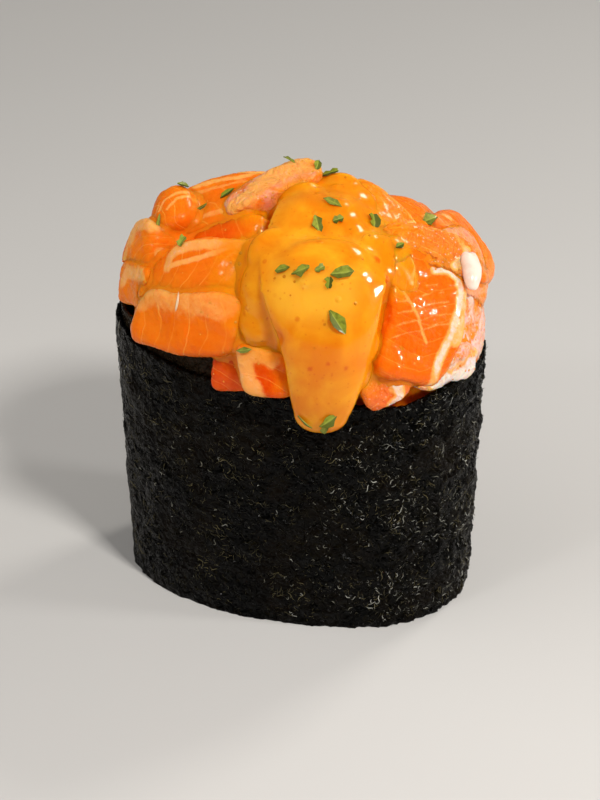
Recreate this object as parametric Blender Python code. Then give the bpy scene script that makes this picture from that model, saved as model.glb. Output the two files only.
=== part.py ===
# Salmon gunkan: pressed rice inside a wound strip of nori, a heap of cut salmon that stands above the
# strip's rim, and a thick sauce over the top and down the front. Made in metres, +Z up. X runs along
# the oval foot, and the sauce runs down the -Y side. Lengths below are in millimetres.

import math
import random

import bmesh
import bpy
from mathutils import Matrix, Vector, noise
from mathutils.bvhtree import BVHTree

MM = 0.001
CLEARANCE = 0.35  # between touching pieces

# The oval foot of the strip, measured on its outside
FOOT_HALF_LENGTH = 25.8
FOOT_HALF_DEPTH = 17.6
FOOT_POWER = 2.25  # 2 is an ellipse, more is boxier
FLARE = 0.06  # how much wider the rim is than the foot
BAND_HEIGHT = 40.0

# The strip is wound clockwise seen from above, and its outer end passes over its inner end
STRIP_THICKNESS = 0.5
STRIP_START = 255.0  # degrees round the oval from +X, where the inner end stands
STRIP_WOUND = 455.0  # degrees from the inner end to the outer end
STRIP_STEPS = 64
STRIP_LEVELS = 5
RIM_CUTTER_STEPS = 60
# Degrees along the strip, and how far its cut edge stands above the band's height there
RIM_RISE = [
    (0, 5.6), (22, 5.2), (50, 3.4), (75, 2.6), (110, 1.2), (180, 0.2), (250, -0.9), (280, -0.5),
    (302, -2.2), (330, -1.0), (360, 0.0), (385, 0.7), (405, 1.8), (430, 1.2), (455, 0.8),
]

# The rice
RICE_TOP = 28.0
RICE_STEPS = 40
GRAIN_LENGTH = 6.2
GRAIN_WIDTH = 2.9
GRAIN_HEIGHT = 2.6
GRAIN_RECESS = 1.1  # how far the rice between the grains stands off the board
GRAIN_TRIES = 700

# The heap: what lies packed under the cut salmon that shows
BED_CENTRE_Z = 38.0
BED_HALF = (21.0, 13.6, 17.0)
BED_POWER = 2.6

# The salmon. at is the middle of a piece, faces is the way its broad side looks (degrees round from +X,
# degrees above the horizon), spin turns it about that, and size is its length, width and thickness.
# taper narrows it along its length, skew leans its ends, bend drops its ends inwards, arch bows it.
# cuts is how finely its faces are divided. A piece keeps its place before those that follow it.
SALMON = {
    "front_left_low": dict(at=(-11.2, -16.2, 46.8), faces=(252, 20), spin=10, size=(17.5, 9.8, 6.5),
                           skew=1.2, bend=1.4),
    "front_left_mid": dict(at=(-10.0, -12.0, 53.8), faces=(252, 36), spin=27, size=(20, 8.6, 6.5),
                           skew=2.2, bend=1.4),
    "front_block": dict(at=(0.6, -18.3, 42.7), faces=(270, 10), spin=4, size=(8.4, 7.4, 6), skew=-0.8),
    "front_mid": dict(at=(-0.8, -15.5, 49.8), faces=(266, 24), spin=83, size=(11.5, 8.6, 6.5), bend=0.8),
    "centre_right": dict(at=(16.5, -6.8, 54.8), faces=(322, 46), spin=-66, size=(10.5, 6.8, 6), bend=0.6),
    "right_front": dict(at=(20.4, -8.6, 47.8), faces=(322, 26), spin=62, size=(17, 10.6, 6.5),
                        taper=-0.12, bend=1.0, arch=-1.4),
    "front_right_low": dict(at=(15.0, -14.6, 42.8), faces=(300, 12), spin=-60, size=(9.4, 7.2, 6),
                            taper=-0.15),
    "front_right_wedge": dict(at=(19.2, -12.7, 43.6), faces=(312, 18), spin=-58, size=(11, 7, 6),
                              taper=-0.2),
    "rim_right": dict(at=(25.2, -6.4, 42.4), faces=(334, 8), spin=-8, size=(10, 6, 5), bend=0.6),
    "right_low": dict(at=(24.6, 0.4, 43.6), faces=(350, 12), spin=48, size=(12.5, 8, 6), bend=0.8),
    "right_end": dict(at=(23.2, 4.8, 49.0), faces=(355, 28), spin=-113, size=(12.5, 8.4, 6), bend=1.0),
    "right_mid": dict(at=(18.6, -2.0, 55.8), faces=(335, 54), spin=-44, size=(14.5, 6.8, 6), bend=0.6),
    "right_top": dict(at=(12.8, 0.8, 58.2), faces=(330, 66), spin=-64, size=(12.5, 9, 6),
                      taper=0.35, bend=0.6),
    "top_crest": dict(at=(-4.0, 0.0, 61.2), faces=(248, 66), spin=60, size=(15, 4.6, 4.8), bend=0.6),
    "top_left": dict(at=(-10.2, -1.0, 59.2), faces=(236, 60), spin=48, size=(17, 7.4, 6), bend=1.0),
    "back_left": dict(at=(-16.4, -3.2, 56.9), faces=(228, 46), spin=50, size=(13.5, 9, 7), bend=0.8),
    "left_tip": dict(at=(-20.4, -9.6, 48.4), faces=(224, 14), spin=20, size=(9, 7, 5.5)),
    "left_end": dict(at=(-20.2, -6.6, 53.2), faces=(222, 26), spin=82, size=(12.5, 9, 6.4)),
    "deep_left": dict(at=(-9.5, -5.6, 56.2), faces=(246, 48), spin=21, size=(16, 7, 5), cuts=1),
    "rim_scrap": dict(at=(-4.4, -16.8, 41.8), faces=(262, 10), spin=6, size=(8, 5.4, 4.6), cuts=2),
    "under_sauce": dict(at=(8.6, -13.2, 50.0), faces=(285, 28), spin=84, size=(16, 11, 7),
                        bend=1.0, cuts=1),
    "under_crest": dict(at=(5.6, -4.2, 57.4), faces=(290, 72), spin=86, size=(14, 12, 6), bend=0.8, cuts=1),
    "back_right": dict(at=(19.8, 8.2, 52.2), faces=(10, 44), spin=-112, size=(13, 9, 6), bend=0.8, cuts=2),
    "right_back": dict(at=(14.0, 7.6, 55.4), faces=(30, 56), spin=-66, size=(12.5, 8, 6), bend=0.8, cuts=2),
    "back_crest": dict(at=(1.6, 6.4, 58.2), faces=(92, 62), spin=176, size=(18, 9, 6), bend=1.2, cuts=2),
    "back_mid": dict(at=(3.0, 13.0, 51.8), faces=(88, 30), spin=8, size=(18, 9, 6.5), bend=1.4, cuts=2),
    "back_turn": dict(at=(-13.4, 7.8, 54.6), faces=(128, 42), spin=160, size=(15, 9, 6.5),
                      bend=1.2, cuts=2),
    "back_low_left": dict(at=(-13.2, 13.6, 45.6), faces=(112, 18), spin=-4, size=(16, 9, 6.5),
                          bend=1.4, cuts=2),
    "back_low_mid": dict(at=(2.6, 15.8, 44.2), faces=(88, 12), spin=4, size=(14, 8, 6), bend=0.6, cuts=2),
    "back_low_right": dict(at=(17.2, 12.6, 45.0), faces=(56, 18), spin=-8, size=(15, 9, 6.5),
                           bend=1.4, cuts=2),
    "left_low": dict(at=(-22.4, 2.0, 46.8), faces=(178, 18), spin=6, size=(14, 9, 6), bend=1.2, cuts=2),
    "left_back": dict(at=(-20.2, 2.6, 54.6), faces=(170, 38), spin=-166, size=(12, 8.4, 6.4),
                      bend=0.8, cuts=2),
}
SALMON_POWER = 4.2  # how square the cut edges are
UNEVEN = 0.45  # how far a piece strays from its true form
NOISE_SEED = 5
SALMON_CUTS = 3

# The sauce follows a path over the heap: middle of its section, half its width, half its thickness
SAUCE_PATH = [
    ((2.2, 3.4, 61.4), 4.6, 1.3),
    ((4.0, -2.6, 61.6), 8.0, 1.8),
    ((5.6, -8.4, 60.6), 8.8, 2.1),
    ((7.4, -13.0, 59.2), 9.2, 2.5),
    ((9.0, -16.8, 56.6), 8.6, 3.0),
    ((9.8, -18.9, 52.2), 7.2, 3.1),
    ((9.8, -19.9, 47.2), 6.0, 2.8),
    ((9.6, -20.4, 42.4), 5.0, 2.3),
    ((9.2, -20.3, 38.6), 3.9, 2.0),
]
SAUCE_TIP = 3.2  # length of the round end past the last section
SAUCE_RINGS = 16
SAUCE_SIDES = 16
SAUCE_POWER = 2.4

# Shreds of green herb: where each lies, how long it is, and how it is turned on the surface
HERBS = [
    ((-17.5, -1.4, 61.6), 2.2, 20), ((-10.2, -3.1, 61.7), 3.0, 60), ((-12.9, -6.0, 60.9), 2.4, 30),
    ((0.8, 3.6, 64.3), 2.0, 100), ((5.6, -4.4, 63.2), 3.2, 330), ((7.4, -8.3, 62.6), 3.4, 80),
    ((4.2, -11.0, 62.3), 2.8, 75), ((11.6, -6.2, 61.9), 3.0, 20), ((17.2, 1.8, 59.4), 2.8, 10),
    ((16.2, -5.8, 59.2), 2.2, 50), ((2.7, -18.6, 59.6), 2.4, 10), ((6.9, -18.2, 59.8), 3.4, 25),
    ((11.2, -17.2, 59.4), 3.6, 5), ((9.3, -19.0, 58.2), 2.0, 80), ((11.0, -21.2, 54.0), 4.4, 305),
    ((10.2, -22.0, 38.6), 3.6, 40), ((13.0, -20.5, 40.0), 2.8, 75),
]
HERB_THICKNESS = 0.45
HERB_OUTLINE = [(-0.5, -0.1), (-0.16, -0.34), (0.2, -0.2), (0.5, -0.3), (0.36, 0.24), (-0.2, 0.32)]
HERB_ROOM = 0.3  # the least distance from a shred to the next piece

# A loose grain of rice that lies on the salmon: where, and how it is turned
LOOSE_GRAIN = ((25.2, 3.2, 51.2), 70)

COLOURS = {
    "salmon": ((0.93, 0.27, 0.03, 1), 0.3),
    "sauce": ((0.93, 0.46, 0.08, 1), 0.25),
    "nori": ((0.012, 0.014, 0.008, 1), 0.4),
    "rice": ((0.85, 0.82, 0.74, 1), 0.4),
}


def clear_scene():
    for obj in list(bpy.data.objects):
        bpy.data.objects.remove(obj)


def finish_of(name):
    colour, roughness = COLOURS[name]
    material = bpy.data.materials.get(name) or bpy.data.materials.new(name)
    material.use_nodes = True
    shader = material.node_tree.nodes["Principled BSDF"]
    shader.inputs["Base Color"].default_value = colour
    shader.inputs["Roughness"].default_value = roughness
    shader.inputs["Metallic"].default_value = 0.0
    return material


def add_object(name, bm, finish):
    """Takes the bmesh in millimetres and links it as a named object in metres."""
    bmesh.ops.recalc_face_normals(bm, faces=bm.faces)
    if bm.calc_volume(signed=True) < 0:
        bmesh.ops.reverse_faces(bm, faces=bm.faces)
    bmesh.ops.scale(bm, vec=(MM, MM, MM), verts=bm.verts)
    mesh = bpy.data.meshes.new(name)
    bm.to_mesh(mesh)
    bm.free()
    mesh.shade_smooth()
    mesh.materials.append(finish_of(finish))
    obj = bpy.data.objects.new(name, mesh)
    bpy.context.scene.collection.objects.link(obj)
    return obj


def ease(stations, x):
    """Reads a list of (place, value) with smooth steps between them."""
    for (x0, y0), (x1, y1) in zip(stations, stations[1:]):
        if x <= x1:
            t = max(0.0, (x - x0) / (x1 - x0))
            return y0 + (y1 - y0) * t * t * (3 - 2 * t)
    return stations[-1][1]


def oval(degrees, half_length, half_depth):
    """A point on the foot's oval, which is a superellipse."""
    c, s = math.cos(math.radians(degrees)), math.sin(math.radians(degrees))
    reach = (abs(c) ** FOOT_POWER + abs(s) ** FOOT_POWER) ** (-1 / FOOT_POWER)
    return Vector((half_length * reach * c, half_depth * reach * s, 0))


def wall_point(degrees, z, inset):
    """A point on the strip's wall, inset from the outside of the oval."""
    wider = 1 + FLARE * z / BAND_HEIGHT
    point = oval(degrees, FOOT_HALF_LENGTH * wider - inset, FOOT_HALF_DEPTH * wider - inset)
    point.z = z
    return point


def loft(rings, meets_itself=False):
    """Joins rings of points with quads. Fans close the ends, or the last ring meets the first."""
    bm = bmesh.new()
    rows = [[bm.verts.new(p) for p in ring] for ring in rings]
    sides = len(rows[0])
    pairs = list(zip(rows, rows[1:]))
    if meets_itself:
        pairs.append((rows[-1], rows[0]))
    for low, high in pairs:
        for i in range(sides):
            j = (i + 1) % sides
            bm.faces.new((low[i], low[j], high[j], high[i]))
    if not meets_itself:
        for row in (rows[0], rows[-1]):
            middle = bm.verts.new(sum((v.co for v in row), Vector()) / sides)
            for i in range(sides):
                bm.faces.new((row[i], row[(i + 1) % sides], middle))
    return bm


def make_strip():
    """The nori: one strip wound round the rice, its outer end over its inner end."""
    turn_step = STRIP_THICKNESS + CLEARANCE
    sections = []
    for i in range(STRIP_STEPS + 1):
        wound = STRIP_WOUND * i / STRIP_STEPS
        angle = STRIP_START - wound
        outside = turn_step * (STRIP_WOUND - wound) / 360
        top = BAND_HEIGHT + ease(RIM_RISE, wound)
        levels = [top * k / (STRIP_LEVELS - 1) for k in range(STRIP_LEVELS)]
        outer = [wall_point(angle, z, outside) for z in levels]
        inner = [wall_point(angle, z, outside + STRIP_THICKNESS) for z in reversed(levels)]
        sections.append(outer + inner)
    bm = bmesh.new()
    rows = [[bm.verts.new(p) for p in section] for section in sections]
    around = len(rows[0])
    for low, high in zip(rows, rows[1:]):
        for i in range(around):
            j = (i + 1) % around
            bm.faces.new((low[i], low[j], high[j], high[i]))
    for row in (rows[0], rows[-1]):
        half = around // 2
        for k in range(half - 1):
            bm.faces.new((row[k], row[k + 1], row[around - 2 - k], row[around - 1 - k]))
    return add_object("nori", bm, "nori")


def highest_rim(angle):
    wound = (STRIP_START - angle) % 360
    return max(ease(RIM_RISE, w) for w in (wound, wound + 360) if w <= STRIP_WOUND)


def make_rim_cutter():
    """The room that both layers of the strip need, as a closed ring."""
    deepest = (STRIP_THICKNESS + CLEARANCE) * (1 + STRIP_WOUND / 360)
    sections = []
    for i in range(RIM_CUTTER_STEPS):
        angle = 360 * i / RIM_CUTTER_STEPS
        top = BAND_HEIGHT + CLEARANCE + max(highest_rim(angle + near) for near in (-6, 0, 6))
        low = RICE_TOP - 8
        sections.append([
            wall_point(angle, low, -CLEARANCE),
            wall_point(angle, top, -CLEARANCE),
            wall_point(angle, top, deepest),
            wall_point(angle, low, deepest),
        ])
    cutter = add_object("rim_cutter", loft(sections, meets_itself=True), "nori")
    return hide_as_cutter(cutter)


def hide_as_cutter(obj):
    obj.hide_render = True
    obj.display_type = "WIRE"
    return obj


def room_inside(angle):
    """How far the rice stays inside the band's outer face, so that it clears the strip's inner layer."""
    wound = min((STRIP_START - angle - near) % 360 for near in (-9, 0, 9))
    return (STRIP_THICKNESS + CLEARANCE) * (1 + (STRIP_WOUND - wound) / 360)


def make_rice():
    """Pressed rice that fills the strip. Its underside shows grains, pressed flat on the board."""
    inset = (STRIP_THICKNESS + CLEARANCE) * (1 + STRIP_WOUND / 360)
    angles = [360 * k / RICE_STEPS for k in range(RICE_STEPS)]
    profile = [
        (GRAIN_RECESS, 1.2), (GRAIN_RECESS + 1.6, 0.0),
        (RICE_TOP - 4, 0.0), (RICE_TOP - 1.2, 1.0), (RICE_TOP, 3.4),
    ]
    rings = [
        [wall_point(angle, z, room_inside(angle) + drawn_in) for angle in angles]
        for z, drawn_in in profile
    ]
    core = add_object("rice", loft(rings), "rice")
    grains = bpy.data.collections.new("grains")
    bpy.context.scene.collection.children.link(grains)
    for number, (x, y, heading) in enumerate(grain_places(inset)):
        grain = add_object(f"grain_{number}", grain_mesh(x, y, heading), "rice")
        bpy.context.scene.collection.objects.unlink(grain)
        grains.objects.link(grain)
    fuse(core, grains)
    return core


def grain_places(inset):
    """Places for the grains of the underside, drawn by a seeded rule so that none touches another."""
    draw = random.Random(7)
    placed = [(0.0, 0.0, 0.4)]
    half_length = FOOT_HALF_LENGTH - inset - 1.7
    half_depth = FOOT_HALF_DEPTH - inset - 1.7
    for _ in range(GRAIN_TRIES):
        x, y = draw.uniform(-half_length, half_length), draw.uniform(-half_depth, half_depth)
        heading = draw.uniform(0, math.pi)
        spots = grain_spine(x, y, heading)
        if any(abs(p.x / half_length) ** FOOT_POWER + abs(p.y / half_depth) ** FOOT_POWER > 1 for p in spots):
            continue
        taken = [spot for other in placed for spot in grain_spine(*other)]
        if all((spot - other).length > GRAIN_WIDTH + 0.12 for spot in spots for other in taken):
            placed.append((x, y, heading))
    return placed


def grain_spine(x, y, heading):
    """Spots along the middle of a grain, from one round end to the other."""
    along = Vector((math.cos(heading), math.sin(heading))) * (GRAIN_LENGTH - GRAIN_WIDTH) / 2
    return [Vector((x, y)) + along * t for t in (-1, -0.5, 0, 0.5, 1)]


def grain_mesh(x, y, heading):
    """One cooked grain, a plump oval with few sides, flat where the board pressed it."""
    bm = bmesh.new()
    bmesh.ops.create_uvsphere(bm, u_segments=6, v_segments=4, radius=1)
    turn = Matrix.Rotation(heading, 3, "Z") @ Matrix.Rotation(math.pi / 2, 3, "Y")
    for vert in bm.verts:
        p = vert.co.copy()
        p = Vector((p.x * GRAIN_HEIGHT / 2, p.y * GRAIN_WIDTH / 2, p.z * GRAIN_LENGTH / 2))
        p = turn @ p + Vector((x, y, GRAIN_HEIGHT / 2 - 0.5))
        p.z = max(p.z, 0.0)
        vert.co = p
    return bm


def fuse(target, collection):
    """Joins a collection of closed shapes onto the target with one union, then removes them. A hollow
    that this seals off is filled."""
    joint = target.modifiers.new("fuse", "BOOLEAN")
    joint.operation = "UNION"
    joint.operand_type = "COLLECTION"
    joint.collection = collection
    joint.solver = "MANIFOLD"
    apply_modifiers(target)
    for obj in list(collection.objects):
        bpy.data.objects.remove(obj)
    bpy.data.collections.remove(collection)
    keep_largest(target)


def apply_modifiers(obj):
    graph = bpy.context.evaluated_depsgraph_get()
    mesh = bpy.data.meshes.new_from_object(obj.evaluated_get(graph))
    mesh.name = obj.name
    obj.modifiers.clear()
    obj.data = mesh


def block(power, cuts):
    """A rounded block of half size 1 on each side."""
    bm = bmesh.new()
    bmesh.ops.create_cube(bm, size=2)
    bmesh.ops.subdivide_edges(bm, edges=bm.edges[:], cuts=cuts, use_grid_fill=True)
    for vert in bm.verts:
        vert.co /= sum(abs(c) ** power for c in vert.co) ** (1 / power)
    return bm


def facing(around, above, spin):
    """The turn that lays a piece's length, width and thickness out so that its broad side faces a way."""
    a, e = math.radians(around), math.radians(above)
    out = Vector((math.cos(a) * math.cos(e), math.sin(a) * math.cos(e), math.sin(e)))
    level = Vector((-math.sin(a), math.cos(a), 0))
    rise = out.cross(level)
    along = level * math.cos(math.radians(spin)) + rise * math.sin(math.radians(spin))
    return Matrix((along, out.cross(along), out)).transposed()


def salmon_block(spec, grow=0.0):
    """A cut piece of salmon: a rounded block, tapered, skewed, bent and a little uneven."""
    half = [s / 2 + grow for s in spec["size"]]
    turn = facing(*spec["faces"], spec["spin"])
    middle = Vector(spec["at"])
    taper, skew = spec.get("taper", 0.0), spec.get("skew", 0.0)
    bend, arch = spec.get("bend", 0.0), spec.get("arch", 0.0)
    bm = block(SALMON_POWER, spec.get("cuts", SALMON_CUTS))
    for vert in bm.verts:
        x, y, z = vert.co
        along, across = half[0] * x + skew * y, half[1] * y * (1 - taper * x) - arch * x * x
        local = Vector((along, across, half[2] * z - bend * x * x))
        stray = noise.noise_vector(local * 0.16 + middle) * UNEVEN
        vert.co = middle + turn @ (local + stray)
    return bm


def sauce_rings(grow=0.0):
    """Sections of the sauce along its path, each a flattened oval that lies on the heap."""
    spots = [Vector(at) for at, _, _ in SAUCE_PATH]
    rings = []
    heart = Vector((2.0, 0.0, 44.0))
    last = len(spots) - 1
    for i in range(SAUCE_RINGS):
        place = last * i / (SAUCE_RINGS - 1)
        k = min(int(place), last - 1)
        t = place - k
        before, after = spots[max(k - 1, 0)], spots[min(k + 2, last)]
        a, b = spots[k], spots[k + 1]
        point = spline(before, a, b, after, t)
        along = (spline(before, a, b, after, t + 0.01) - point).normalized()
        out = point - heart
        if point.z < heart.z:
            out.z = 0
        out = (out - along * out.dot(along)).normalized()
        across = along.cross(out)
        wide = SAUCE_PATH[k][1] * (1 - t) + SAUCE_PATH[k + 1][1] * t
        thick = SAUCE_PATH[k][2] * (1 - t) + SAUCE_PATH[k + 1][2] * t
        rings.append((point, along, across, out, wide + grow, thick + grow))
    return rings


def spline(before, a, b, after, t):
    """Catmull-Rom: a smooth curve from a to b."""
    return 0.5 * (
        2 * a + (b - before) * t + (2 * before - 5 * a + 4 * b - after) * t * t
        + (3 * a - before - 3 * b + after) * t ** 3
    )


def sauce_shape(grow=0.0):
    """The sauce: sections along the path, with a round end at the top and a drop at the tip."""
    sections = sauce_rings(grow)
    rings = []
    first, last = sections[0], sections[-1]
    for share in (0.45, 0.85):
        reach = math.sqrt(1 - (1 - share) ** 2)
        point = first[0] - first[1] * (2.4 + grow) * (1 - share)
        rings.append(section_points(point, first[2], first[3], first[4] * reach, first[5] * reach))
    rings += [section_points(p, across, out, wide, thick) for p, _, across, out, wide, thick in sections]
    for share in (0.75, 0.4, 0.12):
        reach = math.sqrt(1 - (1 - share) ** 2)
        point = last[0] + last[1] * (SAUCE_TIP + grow) * (1 - share)
        rings.append(section_points(point, last[2], last[3], last[4] * reach, last[5] * reach))
    return loft(rings)


def section_points(point, across, out, wide, thick):
    ring = []
    for i in range(SAUCE_SIDES):
        c, s = math.cos(2 * math.pi * i / SAUCE_SIDES), math.sin(2 * math.pi * i / SAUCE_SIDES)
        reach = (abs(c) ** SAUCE_POWER + abs(s) ** SAUCE_POWER) ** (-1 / SAUCE_POWER)
        ring.append(point + across * wide * reach * c + out * thick * reach * s)
    return ring


def carve(target, cutters):
    """Cuts the target by each shape that meets it, then keeps its largest body."""
    low, high = box_of(target)
    for cutter in cutters:
        cutter_low, cutter_high = box_of(cutter)
        if all(cutter_low[k] < high[k] and low[k] < cutter_high[k] for k in range(3)):
            cut = target.modifiers.new("cut", "BOOLEAN")
            cut.operation = "DIFFERENCE"
            cut.object = cutter
            cut.solver = "MANIFOLD"
    apply_modifiers(target)
    keep_largest(target)
    return target


def box_of(obj):
    points = [v.co for v in obj.data.vertices]
    return [min(p[k] for p in points) for k in range(3)], [max(p[k] for p in points) for k in range(3)]


def keep_largest(obj):
    """Drops the scraps that a cut leaves beside a piece."""
    bm = bmesh.new()
    bm.from_mesh(obj.data)
    unseen = set(bm.faces)
    bodies = []
    while unseen:
        body, waiting = set(), [unseen.pop()]
        while waiting:
            face = waiting.pop()
            body.add(face)
            for near in [f for edge in face.edges for f in edge.link_faces if f in unseen]:
                unseen.discard(near)
                waiting.append(near)
        bodies.append(body)
    largest = max(bodies, key=lambda body: sum(f.calc_area() for f in body))
    spare = [f for body in bodies if body is not largest for f in body]
    bmesh.ops.delete(bm, geom=spare, context="FACES")
    bm.to_mesh(obj.data)
    bm.free()


def nodes_with_trees():
    trees = {}
    for obj in bpy.context.scene.collection.objects:
        if obj.type == "MESH" and not obj.hide_render:
            points = [v.co / MM for v in obj.data.vertices]
            trees[obj.name] = BVHTree.FromPolygons(points, [p.vertices[:] for p in obj.data.polygons])
    return trees


def frame_on(tree, at, turned):
    """The nearest spot of a surface, with axes along it (turned by an angle) and out of it."""
    spot, out, _, _ = tree.find_nearest(Vector(at))
    level = Vector((0, 0, 1)).cross(out)
    level = level.normalized() if level.length > 0.05 else Vector((1, 0, 0))
    level = (level - out * level.dot(out)).normalized()
    along = Matrix.Rotation(math.radians(turned), 3, out) @ level
    return spot, along, out.cross(along), out


def herb_shred(tree, at, length, turned):
    """A thin shred that follows the surface it lies on, with its underside sunk into it."""
    spot, along, across, out = frame_on(tree, at, turned)
    top, bottom = [], []
    for number, (x, y) in enumerate(HERB_OUTLINE):
        point = spot + along * x * length + across * y * length
        under = tree.find_nearest(point)[0]
        lift = HERB_THICKNESS * (1.2 if number % 3 == 0 else 0.7)
        top.append(under + out * lift)
        bottom.append(under - out * HERB_THICKNESS)
    return loft([bottom, top])


def scatter_herbs():
    """Fuses the shreds to the pieces they lie on. A shred that would reach the next piece is left out."""
    trees = nodes_with_trees()
    lying = {}
    for at, length, turned in HERBS:
        under = min(trees, key=lambda name: trees[name].find_nearest(Vector(at))[3])
        bm = herb_shred(trees[under], at, length, turned)
        others = [trees[name] for name in trees if name != under]
        if all(other.find_nearest(v.co)[3] > HERB_ROOM for v in bm.verts for other in others):
            lying.setdefault(under, []).append(bm)
        else:
            bm.free()
    at, turned = LOOSE_GRAIN
    under = min(trees, key=lambda name: trees[name].find_nearest(Vector(at))[3])
    lying.setdefault(under, []).append(loose_grain(trees[under], at, turned))
    for under, shreds in lying.items():
        group = bpy.data.collections.new(under + "_toppings")
        bpy.context.scene.collection.children.link(group)
        for number, bm in enumerate(shreds):
            shred = add_object(f"{under}_topping_{number}", bm, "salmon")
            bpy.context.scene.collection.objects.unlink(shred)
            group.objects.link(shred)
        fuse(bpy.data.objects[under], group)


def loose_grain(tree, at, turned):
    spot, along, across, out = frame_on(tree, at, turned)
    bm = bmesh.new()
    bmesh.ops.create_uvsphere(bm, u_segments=10, v_segments=8, radius=1)
    for vert in bm.verts:
        x, y, z = vert.co
        vert.co = spot + along * (z * 2.85) + across * (x * 1.6) + out * (y * 1.5 + 0.7)
    return bm


def make_bed():
    """The salmon packed in the middle of the heap, which shows only in the gaps between the pieces."""
    bm = block(BED_POWER, SALMON_CUTS)
    for vert in bm.verts:
        x, y, z = (c * h for c, h in zip(vert.co, BED_HALF))
        vert.co = Vector((x, y, max(BED_CENTRE_Z + z, RICE_TOP + CLEARANCE)))
    return add_object("salmon_bed", bm, "salmon")


def main():
    clear_scene()
    noise.seed_set(NOISE_SEED)
    make_strip()
    make_rice()
    rim = make_rim_cutter()
    sauce = carve(add_object("sauce", sauce_shape(), "sauce"), [rim])
    room = [rim, hide_as_cutter(add_object("sauce_room", sauce_shape(CLEARANCE), "sauce"))]
    for name, spec in SALMON.items():
        piece = add_object("salmon_" + name, salmon_block(spec), "salmon")
        carve(piece, room)
        room.append(hide_as_cutter(add_object(name + "_room", salmon_block(spec, CLEARANCE), "salmon")))
    carve(make_bed(), room)
    for cutter in room:
        bpy.data.objects.remove(cutter)
    scatter_herbs()


main()
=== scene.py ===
import itertools
import math

import bmesh
import bpy
import numpy as np
from mathutils import Matrix, Vector, noise
from mathutils.bvhtree import BVHTree


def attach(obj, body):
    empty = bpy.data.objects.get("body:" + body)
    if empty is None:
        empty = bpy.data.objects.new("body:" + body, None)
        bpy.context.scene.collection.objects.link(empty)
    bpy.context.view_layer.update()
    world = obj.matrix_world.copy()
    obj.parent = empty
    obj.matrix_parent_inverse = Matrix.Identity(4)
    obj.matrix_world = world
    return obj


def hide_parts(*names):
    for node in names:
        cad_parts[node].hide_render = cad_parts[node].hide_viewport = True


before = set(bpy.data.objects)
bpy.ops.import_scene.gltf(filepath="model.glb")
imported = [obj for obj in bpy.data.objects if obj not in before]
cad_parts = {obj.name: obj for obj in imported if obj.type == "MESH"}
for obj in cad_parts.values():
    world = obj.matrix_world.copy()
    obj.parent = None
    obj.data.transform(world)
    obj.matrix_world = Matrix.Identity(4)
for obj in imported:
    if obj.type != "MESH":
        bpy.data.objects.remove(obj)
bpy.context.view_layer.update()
mm = 0.001  # pieces are shaped in millimetres and stored in metres
noise.seed_set(5)  # the same stray in every run, and the same as in the solids


# small tools

dice = np.random.default_rng(11)
gradients = dice.normal(size=(256, 3))
gradients /= np.linalg.norm(gradients, axis=1, keepdims=True)
shuffled = dice.permutation(256)


def softNoise(points, perMm, seed=0):  # smooth noise, about -1 to 1, at points given in mm
    spots = np.asarray(points, float) * perMm + seed * 13.71
    cell = np.floor(spots).astype(np.int64)
    part = spots - cell
    fade = part ** 3 * (part * (part * 6 - 15) + 10)
    total = np.zeros(len(spots))
    for corner in itertools.product((0, 1), repeat=3):
        at = (cell + corner) & 255
        pick = shuffled[(shuffled[(shuffled[at[:, 0]] + at[:, 1]) & 255] + at[:, 2]) & 255]
        weight = np.prod(np.where(corner, fade, 1 - fade), axis=1)
        total += ((part - corner) * gradients[pick]).sum(axis=1) * weight
    return total * 1.6


def rough(points, perMm, octaves, seed=0):  # noise with finer and fainter copies of itself
    return sum(softNoise(points, perMm * 2.1 ** k, seed + k) * 0.5 ** k for k in range(octaves))


def smoothStep(low, high, x):
    t = np.clip((x - low) / (high - low), 0, 1)
    return t * t * (3 - 2 * t)


def ease(stations, x):  # reads a list of (place, value) with smooth steps between them
    places, values = zip(*stations)
    k = np.clip(np.searchsorted(places, x, side="right") - 1, 0, len(places) - 2)
    places, values = np.array(places, float), np.array(values, float)
    t = np.clip((x - places[k]) / (places[k + 1] - places[k]), 0, 1)
    return values[k] + (values[k + 1] - values[k]) * t * t * (3 - 2 * t)


def meshFrom(name, points, faces):  # a mesh in mm
    mesh = bpy.data.meshes.new(name)
    mesh.from_pydata(np.asarray(points).tolist(), [], [list(face) for face in faces])
    mesh.update()
    return mesh


def pointsOf(mesh):
    points = np.empty(len(mesh.vertices) * 3)
    mesh.vertices.foreach_get("co", points)
    return points.reshape(-1, 3)


def normalsOf(mesh):
    normals = np.empty(len(mesh.vertices) * 3)
    mesh.vertex_normals.foreach_get("vector", normals)
    return normals.reshape(-1, 3)


def movePoints(mesh, points):
    mesh.vertices.foreach_set("co", np.asarray(points, np.float32).ravel())
    mesh.update()


def writeAttribute(mesh, name, values):  # a vector for each point, which a material reads
    attribute = mesh.attributes.new(name, "FLOAT_VECTOR", "POINT")
    attribute.data.foreach_set("vector", np.asarray(values, np.float32).ravel())


def linked(name, mesh):
    piece = bpy.data.objects.new(name, mesh)
    bpy.context.scene.collection.objects.link(piece)
    return piece


def settled(piece):  # what the modifiers make of a piece, as a plain mesh
    bpy.context.view_layer.update()
    graph = bpy.context.evaluated_depsgraph_get()
    mesh = bpy.data.meshes.new_from_object(piece.evaluated_get(graph))
    piece.modifiers.clear()
    return mesh


def treeOf(mesh):
    return BVHTree.FromPolygons([v.co for v in mesh.vertices], [p.vertices[:] for p in mesh.polygons])


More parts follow.
